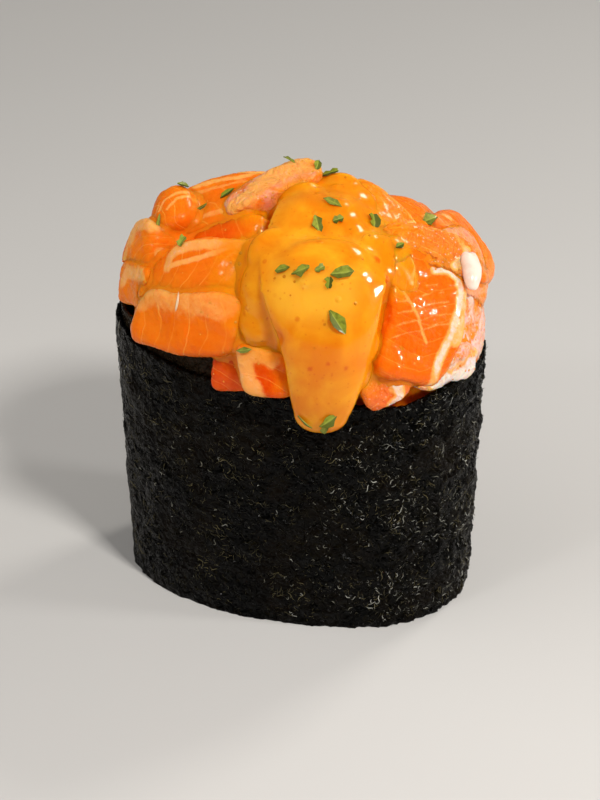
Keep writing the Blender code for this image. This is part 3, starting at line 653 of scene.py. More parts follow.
def makeSlices(making):
    made, cutters = {}, []
    for number, (name, spec) in enumerate(salmonSlices.items()):
        piece = cutBlock("slice_" + name, spec, 0.0, making["cuts"], making)
        low, high = boxOf(pointsOf(piece.data))
        for cutter, (cutLow, cutHigh) in cutters:
            if (cutLow < high).all() and (low < cutHigh).all():
                cut = piece.modifiers.new("cut", "BOOLEAN")
                cut.operation, cut.solver, cut.object = "DIFFERENCE", "MANIFOLD", cutter
        piece.data = settled(piece)
        keepLargest(piece.data)
        remesh = piece.modifiers.new("remesh", "REMESH")
        remesh.mode = "VOXEL"
        remesh.voxel_size = making["backVoxel"] if name.startswith(("back", "left_", "under", "deep")) and \
            name not in ("left_end", "left_tip", "back_left", "back_right") else making["voxel"]
        smooth = piece.modifiers.new("smooth", "SMOOTH")
        smooth.factor, smooth.iterations = 0.5, making["smoothing"]
        piece.data = settled(piece)
        made[name] = piece
        cutter = cutBlock("room_" + name, spec, making["gap"], making["cutterCuts"], making)
        cutter.hide_render = True
        cutters.append((cutter, boxOf(pointsOf(cutter.data))))
    for cutter, _ in cutters:
        bpy.data.objects.remove(cutter)
    layBands(made)
    for number, (name, piece) in enumerate(made.items()):
        spec, points, normals = salmonSlices[name], pointsOf(piece.data), normalsOf(piece.data)
        phase, fat = linePhase(spec, points, number), fatOf(name, points, number)
        toLine = np.abs(phase - np.round(phase)) * spec["lines"][1]
        film = spec.get("film", 0.0)
        relief = making["broadRelief"] * softNoise(points, 0.32, number) * (1 - 0.4 * fat)
        relief += making["fineRelief"] * rough(points, 0.9, 2, number + 9)
        relief -= making["lineDepth"] * np.exp(-(toLine / 0.3) ** 2) * (1 - fat)
        relief += 0.07 * fat + film * making["filmRelief"] * rough(points, 0.75, 2, number + 20)
        movePoints(piece.data, points + normals * relief[:, None])
    print("salmon cut:", len(made), "slices")
    return made


slices = makeSlices(salmonMaking)

# the flesh between and beneath the slices, which closes the grooves to a shallow seam
bedMaking = dict(voxel=0.5, smoothing=16, inset=0.10, halfLength=24.9, halfDepth=16.5, low=33.0, high=43.1,
                 # the plugs are balls that close deep narrow gaps: place and radius
                 plugs=[(-2.6, -5.7, 54.0, 3.4), (16.5, 1.7, 51.0, 3.4), (17.0, -9.8, 41.2, 2.9),
                        (13.5, -12.0, 41.2, 3.0)])
bedSpec = dict(at=(0, 0, 45), faces=(270, 30), spin=0, size=(50, 30, 30), tone=-0.55, lines=(0, 3.0, 0, 0, 0))


# a ball with its own length, width and thickness, as points and faces
def ballAt(spot, size, ways=np.eye(3)):
    ball = bmesh.new()
    bmesh.ops.create_icosphere(ball, subdivisions=3, radius=1)
    shape = np.array([vert.co[:] for vert in ball.verts])
    faces = [tuple(vert.index for vert in face.verts) for face in ball.faces]
    ball.free()
    return np.array(spot) + (shape * size) @ np.array(ways), faces


def makeBed(making, slices):
    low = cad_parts["salmon_bed"].data.copy()
    low.transform(Matrix.Scale(1 / mm, 4))
    turns = np.arange(90) * 2 * math.pi / 90
    c, s = np.cos(turns), np.sin(turns)
    reach = (np.abs(c) ** 2.25 + np.abs(s) ** 2.25) ** (-1 / 2.25)
    rings = [np.stack([making["halfLength"] * reach * c * wide, making["halfDepth"] * reach * s * wide,
                       height + 0.7 * softNoise(np.stack([c * 9, s * 9, 0 * c], axis=1), 0.35, 70)], axis=1)
             for wide, height in ((0.8, making["low"]), (1.0, making["low"] + 1.5),
                                  (1.0, making["high"] - 1.2), (0.95, making["high"] - 0.2),
                                  (0.8, making["high"]))]
    faces = ringFaces(4, 90)
    faces += [tuple(range(90))[::-1], tuple(range(360, 450))]
    bed = linked("slice_bed", joinedMesh("slice_bed", [partsOf(low), (np.concatenate(rings), faces)]
                                         + [ballAt(spot, (reach, reach, reach))
                                            for *spot, reach in making["plugs"]]
                                         + [partsOf(piece.data) for piece in slices.values()]))
    remesh = bed.modifiers.new("remesh", "REMESH")
    remesh.mode, remesh.voxel_size = "VOXEL", making["voxel"]
    smooth = bed.modifiers.new("smooth", "SMOOTH")
    smooth.factor, smooth.iterations = 0.5, making["smoothing"]
    bed.data = settled(bed)
    movePoints(bed.data, pointsOf(bed.data) - normalsOf(bed.data) * making["inset"])
    print("bed filled:", len(bed.data.polygons), "faces")
    return bed


bed = makeBed(bedMaking, slices)


# nori

noriStrip = dict(halfLength=25.8, halfDepth=17.6, power=2.25, flare=0.06, height=40.0, thickness=0.5,
                 clearance=0.35, start=255.0, wound=455.0, columns=520, rows=118, insideRows=14,
                 crumple=0.28, wrinkle=0.16, pleat=0.08, dents=0.9, ragged=0.35)
# degrees along the strip, and how far its cut edge stands above the band's height there
rimRise = [(0, 5.6), (22, 5.2), (50, 3.4), (75, 2.6), (110, 1.2), (180, 0.2), (250, -0.9), (280, -0.5),
           (302, -2.2), (330, -1.0), (360, 0.0), (385, 0.7), (405, 1.8), (430, 1.2), (455, 0.8)]


def wallPoints(degrees, heights, inset, strip):  # points on the strip's wall, inset from the oval's outside
    c, s = np.cos(np.radians(degrees)), np.sin(np.radians(degrees))
    reach = (np.abs(c) ** strip["power"] + np.abs(s) ** strip["power"]) ** (-1 / strip["power"])
    wider = 1 + strip["flare"] * heights / strip["height"]
    return np.stack([(strip["halfLength"] * wider - inset) * reach * c,
                     (strip["halfDepth"] * wider - inset) * reach * s, heights + 0 * c], axis=-1)


def makeNori(strip):
    wound = np.linspace(0, strip["wound"], strip["columns"])
    edge = wallPoints(strip["start"] - wound, np.full_like(wound, strip["height"]), 0, strip)
    top = strip["height"] + ease(rimRise, wound)
    top = top + strip["ragged"] * (rough(edge + wound[:, None] * 0.05, 0.5, 3, 3) - 0.2)
    outside = (strip["thickness"] + strip["clearance"]) * (strip["wound"] - wound) / 360
    end = 0.5 * rough(np.stack([np.zeros(strip["rows"]), np.linspace(0, 40, strip["rows"]),
                                np.zeros(strip["rows"])], axis=1), 0.35, 3, 8)  # the torn ends
    columns = []
    for share, place in ((k / (strip["rows"] - 1), k) for k in range(strip["rows"])):
        slide = end[place] * (np.clip(1 - wound / 14, 0, 1)
                              - np.clip(1 - (strip["wound"] - wound) / 14, 0, 1)) * 1.6
        columns.append(wallPoints(strip["start"] - wound - slide, top * share, outside, strip))
    outer = np.stack(columns, axis=1)
    shares = np.linspace(1, 0, strip["insideRows"])
    inner = np.stack([wallPoints(strip["start"] - wound, top * share, outside + strip["thickness"], strip)
                      for share in shares], axis=1)
    inner[:, 0, :] = outer[:, -1, :] + (inner[:, 0, :] - outer[:, -1, :]) * 0.9
    # the crumple of the outer face, which fades near the overlap so that the layers stay apart
    flat = outer.reshape(-1, 3)
    away = flat * np.array([1, 1, 0])
    away = away / np.linalg.norm(away, axis=1, keepdims=True)
    free = np.repeat(smoothStep(60, 120, wound), strip["rows"])
    low = 1 - 0.6 * smoothStep(37, 42, flat[:, 2])
    lift = strip["crumple"] * rough(flat * np.array([1, 1, 1.4]), 0.22, 3, 30)
    lift += strip["wrinkle"] * (1 - 2 * np.abs(rough(flat, 0.62, 2, 40)))
    lift += strip["pleat"] * (1 - 2 * np.abs(softNoise(flat, 1.15, 46)))
    dented = 1 + strip["dents"] * smoothStep(7, 19, flat[:, 0])
    lift = lift * (0.45 + 0.55 * free) * low * dented
    outer = (flat + away * lift[:, None]).reshape(outer.shape)
    rows = strip["rows"]
    bare = np.nonzero(wound > 8)[0]  # the outer turn and the rim that shows above it
    outerFace = meshFrom("noriOuter", flat + away * lift[:, None], [
        (i * rows + j, i * rows + j + 1, (i + 1) * rows + j + 1, (i + 1) * rows + j)
        for i in bare[:-1] for j in range(rows - 1) if wound[i] > 95 or j > rows * 0.72])
    ring = np.concatenate([outer, inner], axis=1)
    columns, around = ring.shape[:2]
    faces = []
    for i in range(columns - 1):
        for j in range(around):
            k = (j + 1) % around
            faces.append((i * around + j, i * around + k, (i + 1) * around + k, (i + 1) * around + j))
    rows, inside = strip["rows"], strip["insideRows"]
    for i, turned in ((0, True), (columns - 1, False)):  # close the ends with strips between the two faces
        base = i * around
        outerShares = np.arange(rows) / (rows - 1)
        innerShares = 1 - np.arange(inside) / (inside - 1)
        j, k = rows - 1, 0
        while j > 0 or k < inside - 1:
            if k < inside - 1 and (j == 0 or innerShares[k + 1] >= outerShares[j - 1] - 1e-9):
                face = (base + j, base + rows + k, base + rows + k + 1)
                k += 1
            else:
                face = (base + j, base + rows + k, base + j - 1)
                j -= 1
            faces.append(face[::-1] if turned else face)
    piece = linked("nori_strip", meshFrom("nori_strip", ring.reshape(-1, 3), faces))
    rim = strip["height"] + ease(rimRise, wound + 360)  # where the outer turn passes over the inner one
    # a lighter brown painted on the inner turn's rim where it stands above the outer turn: painted sheen
    paintedSheen = smoothStep(-1.0, 0.2, ring[:, :, 2] - rim[:, None]) * (1 - smoothStep(70, 95, wound))[:, None]
    writeAttribute(piece.data, "paintedSheen", np.stack([paintedSheen.ravel()] * 3, axis=1))
    bm = bmesh.new()
    bm.from_mesh(piece.data)
    bmesh.ops.recalc_face_normals(bm, faces=bm.faces)
    if bm.calc_volume(signed=True) < 0:
        bmesh.ops.reverse_faces(bm, faces=bm.faces)
    bm.to_mesh(piece.data)
    bm.free()
    print("nori wound:", len(piece.data.polygons), "faces")
    return piece, outerFace


nori, noriOuter = makeNori(noriStrip)


# sauce

# along the path: middle of the section, half its width, half its thickness, and how far it spreads
# over the salmon on the left and on the right
saucePath = [
    ((2.6, 3.4, 61.4), 3.6, 1.3, 1.4, 2.0),
    ((4.0, -2.6, 61.6), 6.4, 1.6, 3.2, 2.6),
    ((5.6, -8.4, 60.6), 7.8, 1.8, 4.5, 2.6),
    ((7.0, -13.0, 59.2), 8.8, 2.4, 6.0, 2.2),
    ((8.4, -16.8, 56.6), 8.8, 2.9, 6.0, 1.4),
    ((9.4, -18.9, 52.2), 7.4, 2.9, 5.0, 0.8),
    ((9.8, -19.9, 47.2), 6.0, 2.8, 1.0, 0.4),
    ((9.6, -20.4, 42.4), 5.0, 2.3, 0.0, 0.0),
    ((9.2, -20.3, 38.6), 3.9, 2.0, 0.0, 0.0),
]
# swells and hollows: how far along the path, how far to the left, length, width, height and how steep the
# edge is
sauceLumps = [
    (1.7, 3.6, 0.7, 3.4, 0.7, 1), (1.1, -4.0, 0.6, 3.0, 0.5, 1), (2.35, -0.5, 0.4, 6.4, -0.9, 1),
    (1.8, 2.5, 0.3, 3.0, -0.4, 1), (3.45, -0.9, 0.68, 6.6, 1.0, 4), (0.4, 1.0, 0.4, 2.0, -0.3, 1),
    (1.35, -2.0, 0.22, 2.2, 0.55, 2), (2.1, -5.0, 0.3, 1.8, 0.4, 2), (5.6, -2.0, 0.8, 2.6, 0.25, 1),
]
# blobs laid on the salmon: pixel in the photo, half length, half width and half thickness in mm, degrees
# turned
sauceBlobs = [
    (272, 292, 5.4, 5.0, 2.9, 100), (258, 314, 4.2, 3.4, 1.5, 80), (256, 336, 2.2, 1.7, 0.6, 20),
    (280, 268, 5.2, 4.6, 2.9, 60),
    (270, 314, 3.6, 2.6, 2.0, 70), (270, 252, 3.8, 3.2, 1.8, 40), (282, 236, 3.6, 3.2, 1.6, 70),
    (284, 212, 3.0, 2.2, 1.2, 30), (296, 196, 3.4, 2.2, 1.2, 25),
    (352, 196, 3.4, 2.6, 1.2, -40), (364, 222, 3.0, 2.4, 1.1, -60), (372, 248, 2.4, 2.0, 1.0, -80),
    (381, 292, 2.6, 1.6, 1.0, 80),
    (376, 318, 2.6, 1.5, 1.0, 100), (368, 346, 2.4, 1.4, 0.9, 80), (362, 374, 2.6, 1.2, 0.8, 80),
    (338, 186, 3.0, 2.0, 1.0, 0),
]
# the sauce doesn't cling to these
bareSlices = ("top_crest", "top_left", "back_left", "left_end", "front_left_low", "right_back", "back_right",
              "right_end", "rim_scrap", "front_block", "front_right_wedge", "front_right_low")
sauceMaking = dict(power=2.3, thinFlanks=0.85, rings=150, columns=80, startLength=2.6, tipLength=3.2,
                   film=0.34, bank=0.5, hullVoxel=0.42,
                   hullSmoothing=10, voxel=0.3, filling=110, smoothing=8, heart=(2.0, 0.0, 44.0))


def pathAt(place):  # a smooth reading of the path's rows
    last = len(saucePath) - 1
    k = min(max(int(place), 0), last - 1)
    t = place - k
    rows = [np.array([*at, *rest]) for at, *rest in saucePath]
    before, a, b, after = rows[max(k - 1, 0)], rows[k], rows[k + 1], rows[min(k + 2, last)]
    curved = 0.5 * (2 * a + (b - before) * t + (2 * before - 5 * a + 4 * b - after) * t * t
                    + (3 * a - before - 3 * b + after) * t ** 3)
    straight = a * (1 - t) + b * t
    return np.concatenate([curved[:3], straight[3:]])


def sectionAt(place, making):  # a section's middle, the ways along, to the left and out, and its sizes
    last = len(saucePath) - 1
    row = pathAt(place)
    along = pathAt(min(place + 0.05, last))[:3] - pathAt(max(place - 0.05, 0))[:3]
    along /= np.linalg.norm(along)
    out = row[:3] - np.array(making["heart"])
    out[2] = max(out[2], 0)
    out -= along * (out @ along)
    out /= np.linalg.norm(out)
    return row[:3], along, np.cross(along, out), out, row[3:]


def pouredBody(making):  # the thick part, as a closed tube
    last = len(saucePath) - 1
    startShare, tipShare = making["startLength"] / 60, making["tipLength"] / 60
    turns = np.arange(making["columns"]) * 2 * math.pi / making["columns"]
    c, s = np.cos(turns), np.sin(turns)
    rings = []
    for step in np.linspace(-startShare, 1 + tipShare, making["rings"]):
        place = np.clip(step, 0, 1) * last
        point, along, side, out, (wide, thick, _, _) = sectionAt(place, making)
        beyond = max(-step / startShare, (step - 1) / tipShare, 0.0)
        point = point + along * beyond * (making["tipLength"] if step > 1 else -making["startLength"])
        shrink = math.sqrt(max(1 - (beyond * 0.995) ** 2, 0.0))
        a = wide * np.sign(c) * np.abs(c) ** (2 / making["power"])
        h = thick * np.sign(s) * np.abs(s) ** (2 / making["power"])
        h = h * (1 - making["thinFlanks"] * (1 - smoothStep(3.8, 5.8, place)) * np.abs(c) ** 3)
        for lumpPlace, lumpAcross, length, width, rise, steep in sauceLumps:
            away = ((place - lumpPlace) / length) ** 2 + ((a - lumpAcross) / width) ** 2
            h = h + rise * np.exp(-away ** steep) * smoothStep(0.0, 0.5, s)
        rings.append(point + shrink * (a[:, None] * side + h[:, None] * out))
    count = making["columns"]
    faces = ringFaces(len(rings) - 1, count)
    faces += [tuple(range(count))[::-1], tuple((len(rings) - 1) * count + j for j in range(count))]
    return np.concatenate(rings), faces


def filmShell(making, slices):  # the thin part that lies on the salmon round the body
    hull = linked("hull", joinedMesh("hull", [partsOf(piece.data) for piece in slices.values()]))
    owners = np.concatenate([np.full(len(piece.data.polygons), name not in bareSlices)
                             for name, piece in slices.items()])
    tree = treeOf(hull.data)
    remesh = hull.modifiers.new("remesh", "REMESH")
    remesh.mode, remesh.voxel_size = "VOXEL", making["hullVoxel"]
    smooth = hull.modifiers.new("smooth", "SMOOTH")
    smooth.factor, smooth.iterations = 0.5, making["hullSmoothing"]
    mesh = settled(hull)
    bpy.data.objects.remove(hull)
    points, normals = pointsOf(mesh), normalsOf(mesh)
    last = len(saucePath) - 1
    places = np.linspace(0, last, 161)
    middles, alongs, sides, outs, sizes = (np.array(part)
                                           for part in zip(*[sectionAt(p, making) for p in places]))
    nearest = np.array([np.argmin(((middles - point) ** 2).sum(axis=1)) for point in points])
    away = points - middles[nearest]
    across = (away * sides[nearest]).sum(axis=1)
    rise = (away * outs[nearest]).sum(axis=1)
    ahead = (away * alongs[nearest]).sum(axis=1)
    wide = sizes[nearest, 0]
    reach = np.maximum(np.where(across > 0, sizes[nearest, 2], sizes[nearest, 3]), 0.3)
    wander = 1.1 * rough(points, 0.17, 3, 50)
    share = 1 - smoothStep(0.1, 1.0, (np.abs(across) - wide + wander) / reach)
    share *= 1 - smoothStep(0.5, 2.5, np.where(nearest == 0, -ahead, 0))
    share *= smoothStep(-0.1, 0.4, (normals * outs[nearest]).sum(axis=1)) * smoothStep(-6, -4, rise)
    share *= smoothStep(0.0, 0.6, np.where(np.abs(across) < wide + 0.5, 1, sizes[nearest, 2:].max(axis=1)))
    candidates = np.nonzero(share > 0.01)[0]
    clings = np.ones(len(points))
    for i in candidates:
        clings[i] = owners[tree.find_nearest(Vector(points[i]))[2]]
    edges = np.array([edge.vertices[:] for edge in mesh.edges])
    share = share * clings
    for _ in range(7):
        total, count = share.copy(), np.ones(len(points))
        for a, b in ((0, 1), (1, 0)):
            np.add.at(total, edges[:, a], share[edges[:, b]])
            np.add.at(count, edges[:, a], 1)
        share = total / count
    bank = making["bank"] * np.exp(-np.maximum(np.abs(across) - wide, 0) / 1.2)
    thick = (making["film"] * (1 + 0.5 * softNoise(points, 0.3, 52)) + bank) * share - 0.35 * (1 - share)
    upper, lower = points + normals * thick[:, None], points - normals * 0.9
    kept = [tuple(side.vertices) for side in mesh.polygons if max(share[list(side.vertices)]) > 0.03]
    total = len(points)
    faces = kept + [tuple(total + k for k in reversed(side)) for side in kept]
    ways = {(a, b) for side in kept for a, b in zip(side, side[1:] + side[:1])}
    faces += [(b, a, total + a, total + b) for a, b in ways if (b, a) not in ways]
    used = sorted({k for face in faces for k in face})
    renumbered = {k: n for n, k in enumerate(used)}
    return np.concatenate([upper, lower])[used], [tuple(renumbered[k] for k in face) for face in faces]


def viewAxes():  # the photo's ways to the right and up
    a = math.radians(stageLook["azimuth"])
    right = Vector((math.cos(a), math.sin(a), 0))
    return right, directionOf(stageLook["azimuth"], stageLook["elevation"]).cross(right)


def turnedOn(normal, degrees):  # the ways along and across on a surface, turned as seen in the photo
    right, up = viewAxes()
    along = right * math.cos(math.radians(degrees)) + up * math.sin(math.radians(degrees))
    along = (along - normal * along.dot(normal)).normalized()
    return along, normal.cross(along)


def blobs(slices):
    trees, made = [treeOf(piece.data) for piece in slices.values()], []
    for u, v, length, width, thick, turned in sauceBlobs:
        spot, normal = seenOn(trees, u, v)
        made.append(ballAt(spot, (length, width, thick), [*turnedOn(normal, turned), normal]))
    return made


# spots seen in the sauce: pixel, radius in mm, how red and how far they stand out in mm
sauceMarks = [
    (276, 338, 1.3, 0.5, -0.5), (308, 369, 0.45, 0.9, 0.0), (326, 364, 0.32, 0.8, 0.0),
    (344, 368, 0.4, 0.8, 0.0),
    (330, 375, 0.25, 0.6, 0.0), (375, 260, 0.62, 1.0, 0.25), (265, 319, 0.2, 0.9, 0.0),
    (321, 378, 0.2, 0.5, 0.0),
    (303, 284, 0.7, 0.0, 0.35), (334, 187, 0.75, 0.0, 0.4), (316, 187, 0.3, 0.5, 0.0),
    (320, 233, 0.8, 0.25, -0.1),
]


def layMarks(mesh):
    tree, points = treeOf(mesh), pointsOf(mesh)
    marks, normals = np.zeros(len(points)), normalsOf(mesh)
    for u, v, radius, red, rise in sauceMarks:
        away = np.linalg.norm(points - np.array(seenOn([tree], u, v)[0]), axis=1) / radius
        marks = np.maximum(marks, red * (1 - smoothStep(0.55, 1.15, away)))
        points += normals * (rise * np.exp(-(away / 0.8) ** 2))[:, None]
    movePoints(mesh, points)
    return marks


def fillCreases(mesh, rounds):  # raises the hollows to where smoothing puts them, and leaves the rest
    soft = linked("soft", mesh.copy())
    smooth = soft.modifiers.new("smooth", "SMOOTH")
    smooth.factor, smooth.iterations = 0.5, rounds
    points, normals, target = pointsOf(mesh), normalsOf(mesh), pointsOf(settled(soft))
    bpy.data.objects.remove(soft)
    rise = np.maximum(((target - points) * normals).sum(axis=1), 0)
    movePoints(mesh, points + normals * rise[:, None])


def makeSauce(making, slices):
    piece = linked("sauce_pour", joinedMesh("sauce_pour", [pouredBody(making), filmShell(making, slices),
                                                           *blobs(slices)]))
    remesh = piece.modifiers.new("remesh", "REMESH")
    remesh.mode, remesh.voxel_size = "VOXEL", making["voxel"]
    piece.data = settled(piece)
    keepLargest(piece.data)
    fillCreases(piece.data, making["filling"])
    smooth = piece.modifiers.new("smooth", "SMOOTH")
    smooth.factor, smooth.iterations = 0.5, making["smoothing"]
    piece.data = settled(piece)
    marks = layMarks(piece.data)
    points = pointsOf(piece.data)
    tree = treeOf(joinedMesh("all", [partsOf(slice.data) for slice in slices.values()]))
    thin = []
    for point in points:
        spot, normal, _, _ = tree.find_nearest(Vector(point))
        thin.append(min(max((Vector(point) - spot).dot(normal), 0), 3))
    writeAttribute(piece.data, "pour", np.stack([thin, points[:, 2], marks], axis=1))
    print("sauce poured:", len(piece.data.polygons), "faces")
    return piece


sauce = makeSauce(sauceMaking, slices)


# what the salmon's material reads

def dressSlices(slices, sauce):
    slices = {**slices, "bed": bed}
    trees = {name: treeOf(piece.data) for name, piece in slices.items()}
    boxes = {name: boxOf(pointsOf(piece.data)) for name, piece in slices.items()}
    sauceTree, sauceBox = treeOf(sauce.data), boxOf(pointsOf(sauce.data))
    boneTree = treeOf(joinedMesh("all", [partsOf(piece.data) for name, piece in slices.items()
                                         if name != "bed"]))
    for number, (name, piece) in enumerate(slices.items()):
        spec, points = salmonSlices.get(name, bedSpec), pointsOf(piece.data)
        low, high = boxes[name]
        near = np.full(len(points), 3.0)
        for other, tree in trees.items():
            otherLow, otherHigh = boxes[other][0] - 1.4, boxes[other][1] + 1.4
            if other == name or "bed" in (name, other) or not ((otherLow < high).all()
                                                               and (low < otherHigh).all()):
                continue
            close = np.nonzero(((points > otherLow) & (points < otherHigh)).all(axis=1))[0]
            for i in close:
                found = tree.find_nearest(Vector(points[i]), 1.4)
                if found[0] is not None and found[3] < near[i]:
                    near[i] = found[3]
        poured = np.full(len(points), 9.0)
        close = np.nonzero(((points > sauceBox[0] - 4) & (points < sauceBox[1] + 4)).all(axis=1))[0]
        for i in close:
            found = sauceTree.find_nearest(Vector(points[i]), 4.0)
            if found[0] is not None:
                poured[i] = found[3]
        stray = poured + 0.9 * rough(points, 0.35, 2, 77)
        glaze = np.maximum(1 - smoothStep(-0.4, 2.6, stray),
                           spec.get("glaze", 0.0) * (1 - smoothStep(1.0, 5.0, stray)))
        # painted shade: the flesh is marked darker where another slice lies close, in the seams between
        # slices
        creviceShade = 1 - smoothStep(0.05, 0.5, near)
        tone = np.full(len(points), spec["tone"])
        # the bed is paler close to the slices and deeper in tone away from them, down in the gaps between
        # them: painted shade
        if name == "bed":
            away = np.array([boneTree.find_nearest(Vector(point), 3.0)[3] or 0.0 for point in points])
            tone = 0.4 - 0.3 * smoothStep(0.3, 1.5, away)
        fat = fatOf(name, points, number)
        lay = np.stack([linePhase(spec, points, number) + 20, fat, creviceShade], axis=1)
        look = np.stack([tone, np.full(len(points), spec["lines"][4]),
                         np.full(len(points), spec.get("film", 0.0))], axis=1)
        writeAttribute(piece.data, "lay", lay)
        writeAttribute(piece.data, "look", look)
        writeAttribute(piece.data, "coat", np.stack([glaze, np.full(len(points), spec.get("glintDots", 0.0)),
                                                     glaze], axis=1))
    print("salmon dressed")


dressSlices(slices, sauce)

salmonLook = dict(flesh=(0.80, 0.125, 0.0008, 1), pale=(0.90, 0.22, 0.008, 1), deep=(0.72, 0.055, 0.0002, 1),
                  line=(0.93, 0.31, 0.035, 1), fat=(0.92, 0.37, 0.085, 1), white=(0.81, 0.65, 0.59, 1),
                  film=(0.77, 0.48, 0.40, 1), glaze=(0.88, 0.25, 0.003, 1))


def salmonMaterial(look):
    material, tree, shader = newMaterial("salmonFlesh")
    where = node(tree, "ShaderNodeTexCoord").outputs["Object"]
    lay = channels(tree, "lay")
    own = channels(tree, "look")
    coat = channels(tree, "coat")
    coat, dotted, _ = coat
    phase, fat, creviceShade = lay
    tone, strength, film = own
    broad = speckle(tree, where, 160, 3.0)
    fine = speckle(tree, where, 1100, 4.0, 0.6)
    wavering = maths(tree, "ADD", phase, times(tree, maths(tree, "SUBTRACT", speckle(tree, where, 700, 2.0),
                                                           0.5),
                                               0.16))
    toLine = maths(tree, "ABSOLUTE", maths(tree, "SUBTRACT", maths(tree, "FRACT", wavering), 0.5))
    line = remap(tree, toLine, 0.43, 0.49)
    patchy = remap(tree, speckle(tree, where, 330, 2.0), 0.38, 0.62)
    line = times(tree, times(tree, line, strength),
                 maths(tree, "MULTIPLY_ADD", patchy, 0.8))
    level = maths(tree, "ADD", times(tree, broad, 0.9), times(tree, tone, 0.45))
    colour = mixed(tree, remap(tree, level, 0.1, 1.0), look["flesh"], look["pale"])
    colour = mixed(tree, remap(tree, tone, 0.0, -1.0), colour, look["deep"])
    colour = mixed(tree, times(tree, remap(tree, fine, 0.35, 0.75), 0.22), colour, look["pale"])
    # painted shade in the seams, a quarter of the way to the deep colour
    colour = mixed(tree, times(tree, creviceShade, 0.25), colour, look["deep"])
    colour = mixed(tree, line, colour, look["line"])
    # pale dots in the skin colour, as many as each piece's glintDots: painted wet glints
    glintDots = cells(tree, where, 1500.0)
    glintDots = remap(tree, glintDots.outputs["Distance"], 0.30, 0.10)
    filmy = times(tree, film, remap(tree, speckle(tree, where, 420, 3.0, 0.6, 0.6), 0.32, 0.6))
    filmy = maths(tree, "MAXIMUM", filmy, times(tree, times(tree, glintDots, dotted), 0.8))
    colour = mixed(tree, filmy, colour, look["film"])
    ragged = maths(tree, "ADD", fat, times(tree, maths(tree, "SUBTRACT", fine, 0.5), 0.5))
    colour = mixed(tree, remap(tree, ragged, 0.08, 0.6), colour, look["fat"])
    colour = mixed(tree, remap(tree, ragged, 0.6, 1.0), colour, look["white"])
    colour = mixed(tree, times(tree, coat, 0.9), colour, look["glaze"])
    pits = cells(tree, where, 1300.0,
                feature="SMOOTH_F1").outputs["Distance"]
    normal = bumped(tree, speckle(tree, where, 900, 3.0, 0.5, 0.4), 0.0002, 0.6)
    normal = bumped(tree, pits, 0.0001, 0.3, normal)
    wet = times(tree, speckle(tree, where, 520, 3.0, 0.6, 0.8), maths(tree, "ADD", dotted, 0.25))
    normal = bumped(tree, wet, 0.0010, 0.9, normal)
    normal = bumped(tree, line, 0.0001, 0.5, normal)
    setShader(tree, shader, Base_Color=colour, Roughness=remap(tree, fine, 0.3, 0.7, 0.22, 0.42),
              Normal=normal)
    setShader(tree, shader, Subsurface_Weight=0.6, Subsurface_Scale=0.0028, Coat_Weight=0.4,
              Coat_Roughness=0.03, Coat_IOR=1.42, Specular_IOR_Level=0.035)
    shader.inputs["Subsurface Radius"].default_value = (1.0, 0.28, 0.08)
    return material


salmonFlesh = salmonMaterial(salmonLook)


# sauce's material

# bulgeLight is the paler colour painted on the lit top of the bulge
sauceLook = dict(body=(0.75, 0.205, 0.002, 1), pale=(0.86, 0.35, 0.010, 1), bulgeLight=(0.86, 0.43, 0.030, 1),
                 thin=(0.86, 0.20, 0.001, 1), speck=(0.62, 0.07, 0.001, 1))


def sauceMaterial(look):
    material, tree, shader = newMaterial("spicedSauce")
    where = node(tree, "ShaderNodeTexCoord").outputs["Object"]
    pour = channels(tree, "pour")
    thickness, height, red = pour
    clouds = speckle(tree, where, 150, 4.0, 0.55, 0.6)
    colour = mixed(tree, remap(tree, clouds, 0.35, 0.7), look["body"], look["pale"])
    colour = mixed(tree, remap(tree, thickness, 1.3, 0.15, 0.0, 0.75), colour, look["thin"])
    seeds = node(tree, "ShaderNodeTexVoronoi", {"Vector": where, "Scale": 300.0, "Randomness": 1.0})
    near = remap(tree, seeds.outputs["Distance"], 0.16, 0.07)
    chosen = remap(tree, node(tree, "ShaderNodeSeparateXYZ", {0: seeds.outputs["Color"]}).outputs[0], 0.78,
                   0.82)
    # painted light: the top of the bulge is painted paler, as where light falls on it, fading out at its
    # sides
    bulgeLight = times(tree, remap(tree, height, 52.0, 56.0), remap(tree, height, 61.0, 58.8))
    across = node(tree, "ShaderNodeSeparateXYZ", {0: where}).outputs[0]
    bulgeLight = times(tree, bulgeLight, remap(tree, across, 0.0155, 0.0115))
    bulgeLight = times(tree, bulgeLight, remap(tree, across, -0.0005, 0.004))
    colour = mixed(tree, remap(tree, across, 0.0125, 0.0165, 0.0, 0.6), colour, look["thin"])
    colour = mixed(tree, times(tree, bulgeLight, 0.8), colour, look["bulgeLight"])
    colour = mixed(tree, times(tree, times(tree, near, chosen), 0.45), colour,
                   look["speck"])
    colour = mixed(tree, times(tree, red, 0.8), colour, look["speck"])
    dust = cells(tree, where, 900.0)
    dusty = times(tree, remap(tree, dust.outputs["Distance"], 0.2, 0.1), 0.3)
    colour = mixed(tree, dusty, colour, look["speck"])
    bubbles = cells(tree, where, 420.0)
    rare = remap(tree, node(tree, "ShaderNodeSeparateXYZ", {0: bubbles.outputs["Color"]}).outputs[1], 0.80,
                 0.84)
    dome = times(tree, remap(tree, bubbles.outputs["Distance"], 0.24, 0.02), rare)
    normal = bumped(tree, speckle(tree, where, 260, 3.0, 0.5, 0.5), 0.0004, 0.3)
    normal = bumped(tree, dome, 0.0003, 0.7, normal)
    normal = bumped(tree, times(tree, near, chosen), 0.0001, 0.5, normal)
    setShader(tree, shader, Base_Color=colour, Roughness=remap(tree, clouds, 0.3, 0.7, 0.16, 0.28),
              Normal=normal)
    setShader(tree, shader, Subsurface_Weight=0.7, Subsurface_Scale=0.004, Coat_Weight=0.5,
              Coat_Roughness=0.015, Coat_IOR=1.48, Specular_IOR_Level=0.04)
    shader.inputs["Subsurface Radius"].default_value = (1.0, 0.5, 0.1)
    return material


# herb flakes

